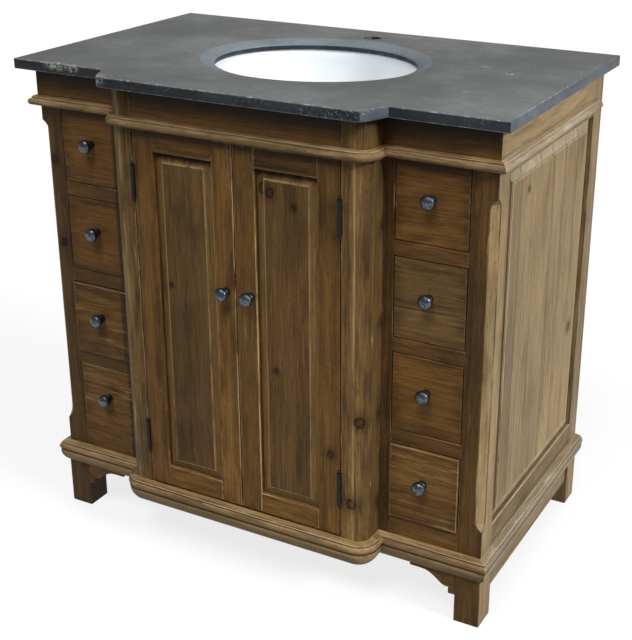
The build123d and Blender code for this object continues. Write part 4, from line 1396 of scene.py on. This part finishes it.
@dataclass
class Breakfront:
    """Rounded columns, narrow stiles, cross rails and frieze boards."""

    column_steps: int = 9
    column_tones: Span = (-0.14, 0.22)
    rail_t: float = 22.0

    def column(self, side: Side) -> None:
        """One rounded column with its hinge pockets."""
        y = (PLAN.centre_y, PLAN.frame_back_y)
        box = (side.span(PLAN.column_in, PLAN.column_out), y, (PLAN.leg_top, PLAN.top))
        obj = BENCH.cube(f"{side.word}-column", box)
        outer = side.value * PLAN.column_out
        at_front = PLAN.centre_y + 0.1
        BENCH.pick(obj, Pick.EDGES, lambda at: abs(at.x - outer) < 0.1 and at.y < at_front)
        bpy.ops.mesh.bevel(offset=PLAN.column_r * MM, segments=self.column_steps, affect="EDGES")
        BENCH.done()
        cut_hinge_pockets(obj, side.span(PLAN.column_in - OVERCUT, PLAN.column_in + PLAN.leaf_t))
        BENCH.coat(obj, side.choose(Finish.COLUMN, Finish.RIGHT_COLUMN).pair())
        BENCH.soften(obj, 1.3)
        BENCH.wear(obj, Grain.UP.value, 0.15)
        BENCH.smooth(obj, 22)
        role = Role(ROOT, (f"{side.word}_column",), "column_wood")
        DRESSER.wood(obj, Grain.UP, role, side.choose(*self.column_tones))

    def stile(self, side: Side) -> None:
        """One narrow stile between the column and the drawers, set back behind the frieze."""
        x = side.span(PLAN.column_out, PLAN.bay_in)
        box = (x, (PLAN.shaft_y, PLAN.frame_back_y), (PLAN.leg_top, PLAN.waist))
        obj = BENCH.cube(f"{side.word}-wing-stile", box)
        BENCH.pick(obj, Pick.FACES, lambda at: at.z > PLAN.waist - 0.01)
        BENCH.push((0, 0, 0))
        deep = (PLAN.frame_back_y - PLAN.head_y) / (PLAN.frame_back_y - PLAN.shaft_y)
        BENCH.scale((1, deep, 1), (0, PLAN.frame_back_y, 0))
        BENCH.push((0, 0, PLAN.top - PLAN.waist))
        BENCH.done()
        role = Role(ROOT, ("wing_stiles",), "frame_wood")
        Sawn(Grain.UP, Finish.POST, role, 1.0, 0.15, -0.08).dress(obj)

    def rails(self) -> None:
        """Cross rails under the doors and behind the frieze."""
        x = (-PLAN.column_in, PLAN.column_in)
        back = PLAN.door_back_y
        role = Role(ROOT, ("centre_rails",), "frame_wood")
        low = (x, (PLAN.centre_y, back), (PLAN.leg_top, PLAN.base_top))
        high = (x, (back, back + self.rail_t), (PLAN.waist, PLAN.top))
        Sawn(Grain.ACROSS, Finish.FRONT, role).board("centre-low-rail", low)
        Sawn(Grain.ACROSS, Finish.RAW, role).board("centre-high-rail", high)

    def frieze(self) -> None:
        """Frieze boards, mitred at the outer corners."""
        role = Role(ROOT, ("frieze_boards",), "frame_wood")
        z = (PLAN.waist, PLAN.top)
        centre = ((-PLAN.column_in, PLAN.column_in), (PLAN.centre_y, PLAN.door_back_y), z)
        front = Sawn(Grain.ACROSS, Finish.FRIEZE, role, 0.8)
        flank = Sawn(Grain.DEEP, Finish.FLANK, role, 0.8, tone=0.12)
        front.board("centre-frieze", centre)
        for side in Side:
            corner = (side.value * PLAN.face_x, PLAN.face_y, 0)
            box = (side.span(PLAN.column_out, PLAN.face_x), (PLAN.face_y, PLAN.head_y), z)
            obj = BENCH.cube(f"{side.word}-wing-frieze", box)
            BENCH.slice(obj, corner, (side.value, 1, 0))
            front.dress(obj)
            box = (side.span(PLAN.head_x, PLAN.face_x), (PLAN.face_y, PLAN.rear_post_y), z)
            obj = BENCH.cube(f"{side.word}-side-frieze", box)
            BENCH.slice(obj, corner, (-side.value, -1, 0))
            flank.dress(obj)

    def build(self) -> None:
        """Model and dress every piece of the breakfront."""
        for side in Side:
            self.column(side)
            self.stile(side)
        self.rails()
        self.frieze()


@dataclass
class Moulding:
    """One moulding in five lengths round the front and sides."""

    name: str
    node: str
    profile: Sequence[Span]
    z: float
    face_x: float
    face_y: float
    end_y: float
    grooves: tuple[Span, ...]
    groove: PineFinish
    side_tone: float = 0.1
    centre_tone: float = 0.05
    wing_tone: float = 0.42
    steps: int = 9
    reach: float = 40.0

    def lay(self, name: str, start: Point, outward: Point) -> Mesh:
        """Draw the profile upright at a place.

        Args:
            name: Name of the length.
            start: Where the profile stands.
            outward: Direction that its front faces.

        Returns:
            The new object, in edit mode with the profile selected.
        """
        (x, y, z), (out_x, out_y, _) = start, outward
        points = [(x + out_x * out, y + out_y * out, z + up) for out, up in self.profile]
        return BENCH.draw(name, points)

    def mitre(self, obj: Mesh, side: Side, x: float, way: int) -> None:
        """Cut a length along the mitre of a corner.

        Args:
            obj: The length.
            side: Which side the corner lies on.
            x: The corner's distance from the middle.
            way: 1 where the length ends at the corner and -1 where it starts there.
        """
        BENCH.slice(obj, (side.value * x, self.face_y, 0), (way * side.value, way, 0))

    def straight(self, name: str, start: Point, outward: Point, run: Point) -> Mesh:
        """Straight length with square ends.

        Args:
            name: Name of the length.
            start: Where the profile stands.
            outward: Direction that its front faces.
            run: Which way and how far the profile is pushed.

        Returns:
            The length.
        """
        obj = self.lay(name, start, outward)
        BENCH.push(run)
        BENCH.done()
        BENCH.close(obj)
        return obj

    def dress(self, obj: Mesh, grain: Grain, tone: float, finishes: tuple[PineFinish, PineFinish]) -> None:
        """Soften the arrises of a length and dress it in the finish of its wood, with its grooves painted
        darker as painted shade.
        """
        BENCH.close(obj)
        BENCH.coat(obj, [*finishes[0].pair(), finishes[1].material()])
        BENCH.soften(obj, 0.4, 1)
        # The grooves take the darker finish: painted shade in the creases.
        BENCH.paint(obj, 2, lambda at, _: any(low < at.z - self.z < high for low, high in self.grooves))
        BENCH.smooth(obj, 28)
        DRESSER.wood(obj, grain, Role(ROOT, (self.node,), "moulding_wood"), tone)

    def centre(self) -> None:
        """Front length with its two round corners and short returns."""
        bend = PLAN.column_out - PLAN.column_r
        arc_y = PLAN.centre_y + PLAN.column_r
        back = self.face_y + self.reach
        obj = self.lay(f"{self.name}-centre", (-PLAN.column_out, back, self.z), (-1, 0, 0))
        BENCH.push((0, arc_y - self.face_y - self.reach, 0))
        BENCH.turn((-bend, arc_y), 90, self.steps)
        BENCH.push((2 * bend, 0, 0))
        BENCH.turn((bend, arc_y), 90, self.steps)
        BENCH.push((0, back - arc_y, 0))
        BENCH.done()
        BENCH.close(obj)
        for side in Side:
            self.mitre(obj, side, PLAN.column_out, 1)
        self.dress(obj, Grain.ACROSS, self.centre_tone, (Finish.MOULDING, self.groove))

    def wing(self, side: Side) -> None:
        """Straight length across a wing, mitred at both ends."""
        start = PLAN.column_out - self.reach
        run = (side.value * (self.face_x + self.reach - start), 0, 0)
        place = (side.value * start, self.face_y, self.z)
        obj = self.straight(f"{self.name}-{side.word}-wing", place, (0, -1, 0), run)
        self.mitre(obj, side, PLAN.column_out, -1)
        self.mitre(obj, side, self.face_x, 1)
        self.dress(obj, Grain.ACROSS, self.wing_tone, (Finish.MOULDING, self.groove))

    def flank(self, side: Side) -> None:
        """Straight length along a side, mitred at its front end."""
        place = (side.value * self.face_x, self.face_y - self.reach, self.z)
        run = (0, self.end_y - self.face_y + self.reach, 0)
        obj = self.straight(f"{self.name}-{side.word}-side", place, (side.value, 0, 0), run)
        self.mitre(obj, side, self.face_x, -1)
        self.dress(obj, Grain.DEEP, self.side_tone, (Finish.SIDE_MOULDING, Finish.SIDE_GROOVE))

    def build(self) -> None:
        """Model and dress the five lengths."""
        self.centre()
        for side in Side:
            self.wing(side)
            self.flank(side)


def arc_points(start: Span, middle: Span, end: Span, count: int) -> list[Span]:
    """Points on the arc through three points.

    Args:
        start: First end.
        middle: A point on the arc.
        end: Second end.
        count: How many steps the arc has.

    Returns:
        The points, both ends included.
    """
    (ax, ay), (bx, by), (cx, cy) = start, middle, end
    d = 2 * (ax * (by - cy) + bx * (cy - ay) + cx * (ay - by))
    ux = ((ax**2 + ay**2) * (by - cy) + (bx**2 + by**2) * (cy - ay) + (cx**2 + cy**2) * (ay - by)) / d
    uy = ((ax**2 + ay**2) * (cx - bx) + (bx**2 + by**2) * (ax - cx) + (cx**2 + cy**2) * (bx - ax)) / d
    radius = math.hypot(ax - ux, ay - uy)
    first = math.atan2(ay - uy, ax - ux)
    via = (math.atan2(by - uy, bx - ux) - first) % math.tau
    sweep = (math.atan2(cy - uy, cx - ux) - first) % math.tau
    if via > sweep:
        sweep -= math.tau
    angles = [first + sweep * step / count for step in range(count + 1)]
    return [(ux + radius * math.cos(angle), uy + radius * math.sin(angle)) for angle in angles]


def waist_profile() -> list[Span]:
    """Bead under a sloped fillet: distance from the wood and height."""
    bead = arc_points((7, 0), (13, 6.2), (7.5, 12.5), 8)
    return [(0, 0), *bead, (6.5, 13.3), (8.2, 14.2), (8.0, 15.2), (0, 17.5)]


def base_profile() -> list[Span]:
    """Ovolo, bead and sloped cap: distance from the wood and height."""
    ovolo = arc_points((4, 0), (11.5, 10), (14.4, 24), 6)
    bead = arc_points((13.0, 25.4), (16.0, 32), (13.0, 38.4), 7)
    return [(0, 0), *ovolo, *bead, (11.8, 39.4), (12.6, 40.4), (12.2, 41.4), (0, 44)]


@dataclass
class RaisedPanel:
    """Fielded panel: a thin tongue all round, a slope and a raised field.

    Attributes:
        plane: Where the front of the tongue lies.
        axis: Axis that the panel faces along.
        front: Direction of its front on that axis.
        bevel: Width of the slope.
        finishes: Finish of the field, of the slope and of the line round it.
    """

    plane: float
    axis: int
    front: int
    bevel: float
    finishes: tuple[PineFinish, PineFinish, PineFinish]
    rub: float = 2.0
    tongue: float = 3.0
    thick: float = 8.0
    rise: float = 4.0
    step: float = 2.0
    step_in: float = 0.5
    line: float = 1.5
    arris: float = 0.6

    def build(self, name: str, opening: tuple[Span, Span]) -> Mesh:
        """Model a panel by insets on its front face and give it its finishes.

        Args:
            name: Name of the panel.
            opening: Spans of the frame opening, across and up.

        Returns:
            The panel, with no grain yet.
        """
        deep = (self.plane - self.front * self.thick, self.plane)
        across, up = [(low - self.tongue, high + self.tongue) for low, high in opening]
        spans = [across, across, up]
        spans[self.axis] = (min(deep), max(deep))
        obj = BENCH.cube(name, (spans[0], spans[1], spans[2]))
        BENCH.pick(obj, Pick.FACES, lambda at: (at[self.axis] - self.plane) * self.front > -0.01)
        insets = ((self.tongue + self.line, 0.0), (self.bevel - self.line, self.rise))
        for width, depth in (*insets, (self.step_in, self.step), (self.rub, 0.0)):
            bpy.ops.mesh.inset(thickness=width * MM, depth=depth * MM)
        BENCH.done()
        self.dress(obj)
        return obj

    def dress(self, obj: Mesh) -> None:
        """Round the arrises and tell the field, the slope and the line round it apart."""
        field_finish, slope_finish, line_finish = self.finishes
        BENCH.coat(obj, [*field_finish.pair(), slope_finish.material(), line_finish.material()])
        BENCH.soften(obj, self.arris, 1)
        axis, front, plane = self.axis, self.front, self.plane
        level = plane + front * (self.rise + self.step)
        flat = [face for face in obj.data.polygons if abs(face.center[axis] / MM - level) < 0.3]
        field = max(flat, key=lambda face: face.area)
        for face in flat:
            face.material_index = 0 if face == field else 1
        slope, line = 2, 3
        BENCH.paint(obj, slope, lambda at, normal: 0.8 < normal[axis] * front < 0.995)
        BENCH.paint(
            obj, line, lambda at, normal: normal[axis] * front > 0.995 and abs(at[axis] - plane) < 0.3
        )


@dataclass
class Flank:
    """One side: rails, a raised panel of glued boards and an apron."""

    side: Side
    panel_z: Span = (178.0, 789.0)
    apron_z: float = 50.0
    thick: float = 22.0
    glue: float = 1.3
    joints: tuple[float, ...] = (-104.0, -33.0, 48.0, 106.0, 168.0)
    tones: tuple[float, ...] = (-0.08, 0.06, -0.07, 0.05, -0.05, 0.18)
    glue_tone: float = -0.48

    def board(self, at: Vector) -> tuple[int, float]:
        """Number of the panel board at a place, and a dark tone right on a glue line."""
        on_line = any(abs(at.y - joint) < self.glue for joint in self.joints)
        number = sum(at.y > joint for joint in self.joints)
        return number, self.glue_tone if on_line else self.tones[number]

    def build(self) -> None:
        """Model and dress the pieces of this side."""
        side = self.side
        y = (PLAN.post_in_y, PLAN.rear_post_y)
        rails = Role(ROOT, (f"{side.word}_side_rails",), "frame_wood")
        inner = PLAN.shaft_x - self.thick
        x = side.span(inner, PLAN.shaft_x)
        low, high = self.panel_z
        rail = Sawn(Grain.DEEP, Finish.FLANK, rails)
        replace(rail, tone=-0.25).board(f"{side.word}-side-low-rail", (x, y, (PLAN.leg_top, low)))
        rail.board(f"{side.word}-side-top-rail", (x, y, (high, PLAN.waist)))
        behind = (side.span(inner, PLAN.head_x), y, (PLAN.waist, PLAN.top))
        Sawn(Grain.DEEP, Finish.RAW, rails).board(f"{side.word}-side-head-rail", behind)
        apron = (side.span(inner, PLAN.shaft_x - 1), y, (self.apron_z, PLAN.leg_top))
        role = Role(ROOT, ("side_aprons",), "frame_wood")
        Sawn(Grain.DEEP, Finish.FLANK, role, tone=-0.1).board(f"{side.word}-side-apron", apron)
        # The slope finish is a painted highlight, paler as if lit.
        finishes = (Finish.FLANK, Finish.FLANK_SLOPE, Finish.FLANK_LINE)
        plane = side.value * (PLAN.shaft_x - PLAN.panel_set)
        panel = RaisedPanel(plane, 0, side.value, 20.0, finishes, rub=3.0)
        obj = panel.build(f"{side.word}-side-panel", (y, self.panel_z))
        BENCH.paint(obj, 3, lambda at, normal: normal.y < -0.1 and abs(normal.x) > 0.8)
        lines = [joint + shift for joint in self.joints for shift in (-self.glue, self.glue)]
        BENCH.score(obj, 1, lines)
        role = Role(ROOT, (f"{side.word}_side_panel",), "panel_wood")
        DRESSER.wood(obj, Grain.UP, role, 0.0, self.board)


@dataclass
class LegBracket:
    """Stepped ogee bracket beside a front leg."""

    side: Side
    length: float = 84.0
    drop: float = 40.0
    step: float = 12.0
    thick: float = 18.0
    tip: float = 6.0
    ogee: tuple[Span, ...] = (
        (7.0, 0.0), (13.0, 3.0), (19.0, 7.5), (24.0, 11.5),
        (30.0, 15.5), (36.0, 19.0), (43.0, 21.2), (54.0, 22.0),
    )

    def build(self) -> None:
        """Draw the outline, give it its thickness and dress it."""
        x0 = PLAN.post_in_x
        foot = PLAN.leg_top - self.drop
        shelf = foot + self.step
        edge = x0 - self.step
        sweep = [(edge - away, shelf + up) for away, up in self.ogee]
        outline = [(x0, PLAN.leg_top), (x0, foot), (edge, foot), (edge, shelf), *sweep]
        outline += [(x0 - self.length, PLAN.leg_top - self.tip), (x0 - self.length, PLAN.leg_top)]
        points = [(self.side.value * x, PLAN.face_y, z) for x, z in outline]
        obj = BENCH.draw(f"{self.side.word}-leg-bracket", points)
        BENCH.push((0, self.thick, 0))
        BENCH.done()
        BENCH.close(obj)
        role = Role(ROOT, ("leg_brackets",), "frame_wood")
        Sawn(Grain.ACROSS, Finish.FRONT, role, 0.7, 0.1).dress(obj)


@dataclass
class TurnedKnob:
    """Turned knob: foot, three rings that widen outwards and a rounded head."""

    foot: tuple[Span, ...] = ((0.0, 0.0), (7.0, 0.0), (7.0, 2.2), (5.2, 3.4))
    rings: tuple[tuple[Span, Span], ...] = (
        ((7.2, 5.0), (6.2, 6.6)), ((8.8, 8.4), (7.8, 10.0)),
        ((10.4, 11.8), (9.6, 13.2)), ((12.0, 17.4), (8.8, 23.4)),
    )
    crown: tuple[Span, Span] = ((4.58, 25.34), (0.0, 26.0))
    arc_steps: int = 7
    steps: int = 40

    def outline(self) -> list[Span]:
        """Radius against distance from the wood, from the foot to the crown."""
        points = list(self.foot)
        for crest, end in (*self.rings, self.crown):
            points += arc_points(points[-1], crest, end, self.arc_steps)[1:]
        return points

    def quirks(self) -> list[float]:
        """Distances from the wood of the hollows between the rings."""
        return [self.foot[-1][1], *(end[1] for _, end in self.rings[:-1])]

    def build(self, name: str) -> Mesh:
        """Spin the outline about the knob's own axis, with its foot on the origin.

        Args:
            name: Name of the knob.

        Returns:
            The knob, pointing to the front.
        """
        obj = BENCH.draw(name, [(out, -away, 0) for out, away in self.outline()], fill=False)
        bpy.ops.mesh.spin(steps=self.steps, angle=math.tau, center=(0, 0, 0), axis=(0, 1, 0))
        BENCH.done()
        BENCH.close(obj)
        BENCH.smooth(obj, 48)
        return obj


@dataclass
class Hardware:
    """The knobs of all doors and drawers, turned once and copied."""

    places: list[tuple[str, str, Point]] = field(default_factory=list)
    quirk_half: float = 0.75

    def want(self, node: str, body: str, at: Point) -> None:
        """Ask for a knob on a body at a place."""
        self.places.append((node, body, at))

    def build(self) -> None:
        """Turn one knob and set a copy at every place."""
        turned = TurnedKnob()
        master = turned.build("knob-pattern")
        BENCH.coat(master, [Finish.PEWTER.material(), Finish.PEWTER_QUIRK.material()])
        quirks = turned.quirks()
        BENCH.paint(master, 1, lambda at, _: any(abs(at.y + quirk) < self.quirk_half for quirk in quirks))
        for node, body, at in self.places:
            obj = BENCH.copy(master, node.replace("_", "-"), at)
            DRESSER.place(obj, Role(body, (node,), "knob_metal"))
        bpy.data.meshes.remove(master.data)


@dataclass
class DrawerBank:
    """Four drawers of one wing with the rails round them."""

    side: Side
    hardware: Hardware
    proud: tuple[float, ...]
    fronts: tuple[PineFinish, ...]
    openings: tuple[Span, ...] = ((669.5, 803.0), (504.0, 644.0), (338.5, 478.5), (173.0, 313.0))
    gap: float = 1.5
    front_t: float = 20.0
    box_gap: float = 2.5
    box_t: float = 10.0
    box_h: float = 104.0
    play: float = 0.6
    box_back: float = 230.0
    bottom_lift: float = 7.0
    bottom_t: float = 6.0
    knob_lift: float = 8.5
    # Painted shade on the left drawers and rails beside the column: where it starts, where it is full, and
    # its share.
    nook: Point = (-284.0, -277.0, 0.7)

    def aged(self, finish: PineFinish) -> PineFinish:
        """The finish as it is on this wing: on the left, with painted shade beside the column."""
        if self.side is Side.RIGHT:
            return finish
        return replace(finish, name=f"left {finish.name}", nook=self.nook)

    def rails(self) -> None:
        """Rails between, under and above the drawers."""
        x = self.side.span(PLAN.bay_in, PLAN.post_in_x)
        y = (PLAN.shaft_y, PLAN.frame_back_y)
        role = Role(ROOT, (f"{self.side.word}_drawer_rails",), "frame_wood")
        spans = [(PLAN.leg_top, self.openings[-1][0])]
        spans += [(lower[1], upper[0]) for upper, lower in zip(self.openings, self.openings[1:])]
        for index, z in enumerate(spans):
            rail = Sawn(Grain.ACROSS, self.aged(Finish.FRONT), role, 0.9, 0.12)
            rail.board(f"{self.side.word}-drawer-rail-{index + 1}", (x, y, z))
        head = (x, (PLAN.head_y, PLAN.frame_back_y), (PLAN.waist, PLAN.top))
        Sawn(Grain.ACROSS, Finish.RAW, role).board(f"{self.side.word}-head-rail", head)

    def drawer(self, number: int) -> None:
        """One drawer: front, sides, back and bottom, and a place for its knob."""
        low, high = self.openings[number - 1]
        out = -self.proud[number - 1]
        node = f"{self.side.word}_drawer_{number}"
        role = Role(node, (node,), "drawer_wood")
        y0 = PLAN.shaft_y + out
        y1 = y0 + self.front_t
        y2 = self.box_back + out
        front_x = self.side.span(PLAN.bay_in + self.gap, PLAN.post_in_x - self.gap)
        front = (front_x, (y0, y1), (low + self.gap, high - self.gap))
        label = f"{self.side.word}-drawer-{number}"
        finish = self.aged(self.fronts[number - 1])
        Sawn(Grain.ACROSS, finish, role, 0.8, 0.15).board(f"{label}-front", front)
        near = PLAN.bay_in + self.box_gap
        far = PLAN.post_in_x - self.box_gap
        z = (low + self.play, low + self.box_h)
        near_x = self.side.span(near, near + self.box_t)
        far_x = self.side.span(far - self.box_t, far)
        inner_x = self.side.span(near + self.box_t, far - self.box_t)
        floor_z = (z[0] + self.bottom_lift, z[0] + self.bottom_lift + self.bottom_t)
        wall = Sawn(Grain.DEEP, Finish.RAW, role, 0.8, 0.1)
        wall.board(f"{label}-near-side", (near_x, (y1, y2), z))
        wall.board(f"{label}-far-side", (far_x, (y1, y2), z))
        back = (inner_x, (y2 - self.box_t, y2), z)
        bottom = (inner_x, (y1, y2 - self.box_t), floor_z)
        replace(wall, grain=Grain.ACROSS).board(f"{label}-back", back)
        Sawn(Grain.ACROSS, Finish.RAW, role, 0.4, 0.05).board(f"{label}-bottom", bottom)
        middle = self.side.value * (PLAN.bay_in + PLAN.post_in_x) / 2
        self.hardware.want(f"{node}_knob", node, (middle, y0, (low + high) / 2 + self.knob_lift))

    def build(self) -> None:
        """Model and dress the rails and the four drawers."""
        self.rails()
        for number in range(1, len(self.openings) + 1):
            self.drawer(number)


@dataclass
class Door:
    """Panelled door: two stiles, two rails, a raised panel and a knob."""

    side: Side
    hardware: Hardware
    inner: float = 0.75
    outer: float = 195.25
    z: Span = (139.0, 802.0)
    stile: float = 40.0
    field_z: Span = (177.0, 767.0)
    back_bevel: float = 2.0
    panel_bevel: float = 15.0
    knob_x: Span = (18.0, 30.0)
    knob_z: float = 547.0
    meeting_tones: Span = (0.32, -0.04)
    low_tone: float = 0.3
    panel_tone: float = -0.02

    def __post_init__(self) -> None:
        """Work out what the pieces share."""
        self.body = f"{self.side.word}_door"
        self.role = Role(self.body, (f"{self.body}_frame",), "door_wood")
        self.y = (PLAN.centre_y, PLAN.door_back_y)
        self.opening = (self.inner + self.stile, self.outer - self.stile)

    def stiles(self) -> None:
        """Meeting stile with its bevelled edge and hanging stile with its hinge pockets."""
        side = self.side
        box = (side.span(self.inner, self.opening[0]), self.y, self.z)
        meeting = BENCH.cube(f"{side.word}-meeting-stile", box)
        edge = side.value * self.inner
        behind = PLAN.door_back_y - 0.1
        BENCH.pick(meeting, Pick.VERTS, lambda at: abs(at.x - edge) < 0.1 and at.y > behind)
        bpy.ops.transform.translate(value=(side.value * self.back_bevel * MM, 0, 0))
        BENCH.done()
        tone = side.choose(*self.meeting_tones)
        Sawn(Grain.UP, Finish.HANDLED, self.role, 1.5, tone=tone).dress(meeting)
        box = (side.span(self.opening[1], self.outer), self.y, self.z)
        hanging = BENCH.cube(f"{side.word}-hanging-stile", box)
        cut_hinge_pockets(hanging, side.span(self.outer - PLAN.leaf_t, self.outer + OVERCUT))
        Sawn(Grain.UP, Finish.DOOR, self.role, 0.9).dress(hanging)

    def rails(self) -> None:
        """Low rail and top rail between the stiles."""
        side = self.side
        x = side.span(*self.opening)
        low = (x, self.y, (self.z[0], self.field_z[0]))
        top = (x, self.y, (self.field_z[1], self.z[1]))
        finish = replace(Finish.HANDLED, name="low rail pine", under=0.0)
        rail = Sawn(Grain.ACROSS, finish, self.role, 1.2, tone=self.low_tone)
        rail.board(f"{side.word}-door-low-rail", low)
        finish = side.choose(Finish.DOOR, Finish.RIDGED)
        Sawn(Grain.ACROSS, finish, self.role, 0.7).board(f"{side.word}-door-top-rail", top)

    def build(self) -> None:
        """Model and dress the door."""
        side = self.side
        self.stiles()
        self.rails()
        # The slope's darkened top is painted shadow and the line ring is painted shade.
        finishes = (Finish.PANEL, Finish.SLOPE, Finish.SLOPE_LINE)
        maker = RaisedPanel(PLAN.centre_y + PLAN.panel_set, 1, -1, self.panel_bevel, finishes)
        panel = maker.build(f"{side.word}-door-panel", (side.span(*self.opening), self.field_z))
        role = Role(self.body, (f"{self.body}_panel",), "panel_wood")
        DRESSER.wood(panel, Grain.UP, role, self.panel_tone)
        knob = (side.value * side.choose(*self.knob_x), PLAN.centre_y, self.knob_z)
        self.hardware.want(f"{self.body}_knob", self.body, knob)


@dataclass
class HiddenWork:
    """CAD pieces that stay as they are and get finishes: carcass, hinges and basin fixings."""

    boards: dict[str, Grain] = field(
        default_factory=lambda: {
            "left_partition": Grain.UP,
            "right_partition": Grain.UP,
            "left_drawer_runners": Grain.DEEP,
            "right_drawer_runners": Grain.DEEP,
            "cabinet_floor": Grain.ACROSS,
            "back_panel": Grain.UP,
            "back_rails": Grain.ACROSS,
            "door_catches": Grain.ACROSS,
        }
    )
    irons: tuple[str, ...] = ("hinge_frame_leaves", "hinge_door_leaves", "hinge_pins")

    def give(self, node: str, material: bpy.types.Material) -> None:
        """Put a material on every slot of a CAD node."""
        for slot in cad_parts[node].material_slots:
            slot.material = material
        log.info("%s: CAD piece in %s", node, material.name)

    def build(self) -> None:
        """Dress every CAD piece that stays."""
        for node, grain in self.boards.items():
            self.give(node, Finish.RAW.material(axis=grain))
        for side in Side:
            for name in self.irons:
                self.give(f"{side.word}_{name}", Finish.IRON.material())
        for node in ("basin_clips", "clip_screws"):
            self.give(node, Finish.ZINC.material())
        self.give("basin_seal", Finish.GLAZE.material())


@dataclass
class Studio:
    """Pale floor, soft light and the camera at the photograph's angle."""

    eye: Point = (1.0548, -1.8583, 1.3253)
    azimuth: float = 28.0276
    elevation: float = 21.7887
    roll: float = 0.1829
    focal_px: float = 1243.967
    centre_px: Span = (345.4, 284.1)
    picture: Span = (632.0, 640.0)
    sensor: float = 36.0
    sky: float = 0.25
    floor_half: float = 9.0
    floor_grey: float = 0.2
    floor_glow: float = 0.8

    def floor(self) -> None:
        """Large plane that stays pale for the camera and keeps the shadow."""
        BENCH.clear()
        bpy.ops.mesh.primitive_plane_add(size=2 * self.floor_half)
        obj = BENCH.settle("floor")
        material, g, shader = new_material("studio floor")
        path = g.add("LightPath").outputs
        seen = g.math("ADD", path["Is Camera Ray"], path["Is Glossy Ray"], clamp=True)
        seen = g.math("ADD", seen, path["Is Transmission Ray"], clamp=True)
        shader.inputs["Base Color"].default_value = (*[self.floor_grey] * 3, 1.0)
        shader.inputs["Roughness"].default_value = 0.9
        shader.inputs["Specular IOR Level"].default_value = 0.0
        shader.inputs["Emission Color"].default_value = (1.0, 1.0, 1.0, 1.0)
        g.feed(shader.inputs["Emission Strength"], g.times(seen, self.floor_glow))
        obj.data.materials.append(material)

    def world(self) -> None:
        """Even sky that lights gently and looks white."""
        world = bpy.data.worlds.new("studio sky")
        world.use_nodes = True
        bpy.context.scene.world = world
        g = Graph(world.node_tree)
        sky = next(node for node in world.node_tree.nodes if node.type == "BACKGROUND")
        sky.inputs["Color"].default_value = (1.0, 1.0, 1.0, 1.0)
        path = g.add("LightPath").outputs
        extra = g.times(path["Is Camera Ray"], 1.0 - self.sky)
        g.feed(sky.inputs["Strength"], g.plus(extra, self.sky))

    def lamp(self, name: str, power: float, toward: Point, spread: float) -> None:
        """Add a sun lamp that shines along a direction.

        Args:
            name: Name of the lamp.
            power: Its strength.
            toward: Direction that the light travels in.
            spread: Apparent size in degrees.
        """
        BENCH.clear()
        bpy.ops.object.light_add(type="SUN", location=(0, 0, 3))
        lamp = bpy.context.object
        lamp.name = name
        lamp.data.energy = power
        lamp.data.angle = math.radians(spread)
        lamp.rotation_euler = Vector(toward).to_track_quat("-Z", "Y").to_euler()

    def camera(self) -> None:
        """Camera with the photograph's place, turn and framing."""
        az, el, roll = (math.radians(value) for value in (self.azimuth, self.elevation, self.roll))
        forward = Vector((-math.sin(az) * math.cos(el), math.cos(az) * math.cos(el), -math.sin(el)))
        right = Vector((math.cos(az), math.sin(az), 0.0))
        up = right.cross(forward)
        side = right * math.cos(roll) + up * math.sin(roll)
        top = up * math.cos(roll) - right * math.sin(roll)
        BENCH.clear()
        bpy.ops.object.camera_add()
        camera = bpy.context.object
        turn = Matrix((side, top, -forward)).transposed().to_4x4()
        camera.matrix_world = Matrix.Translation(self.eye) @ turn
        long_side = max(self.picture)
        camera.data.sensor_width = self.sensor
        camera.data.lens = self.focal_px * self.sensor / long_side
        camera.data.shift_x = (self.picture[0] / 2 - self.centre_px[0]) / long_side
        camera.data.shift_y = (self.centre_px[1] - self.picture[1] / 2) / long_side
        camera.data.clip_start = 0.05
        bpy.context.scene.camera = camera

    def build(self) -> None:
        """Set up the floor, the light and the camera."""
        self.floor()
        self.world()
        self.lamp("key lamp", 2.5, (-0.82, 0.13, -0.55), 14.0)
        self.lamp("front lamp", 1.55, (-0.08, 0.52, -0.85), 22.0)
        self.camera()
        bpy.context.scene.view_settings.view_transform = "Standard"


def main() -> None:
    """Build the washstand piece by piece, then the studio round it."""
    logging.basicConfig(level=logging.INFO, format="%(message)s")
    hardware = Hardware()
    StoneTop().build()
    OvalBasin().build()
    CornerPosts().build()
    Breakfront().build()
    place = (PLAN.waist, PLAN.face_x, PLAN.face_y, PLAN.rear_post_y)
    profile = waist_profile()
    Moulding("waist-moulding", "waist_moulding", profile, *place, (), Finish.SOFT_GROOVE).build()
    place = (PLAN.leg_top, PLAN.shaft_x, PLAN.shaft_y, PLAN.rear_y)
    profile, grooves = base_profile(), ((23.7, 25.7), (38.1, 39.7))
    Moulding("base-moulding", "base_moulding", profile, *place, grooves, Finish.GROOVE, -0.3).build()
    for side in Side:
        Flank(side).build()
        LegBracket(side).build()
        Door(side, hardware).build()
    fronts = (Finish.TOP_DRAWER, Finish.DRAWER, Finish.PALE_DRAWER, Finish.PALE_DRAWER)
    DrawerBank(Side.LEFT, hardware, (0.0, 0.0, 5.0, 0.0), fronts).build()
    fronts = (Finish.TOP_DRAWER, Finish.SAWN_DRAWER, Finish.DRAWER, Finish.PALE_DRAWER)
    DrawerBank(Side.RIGHT, hardware, (0.0, 0.0, 0.0, 5.0), fronts).build()
    hardware.build()
    HiddenWork().build()
    Studio().build()
    log.info("%d new pieces", DRESSER.count)


if __name__ == "__main__":
    main()
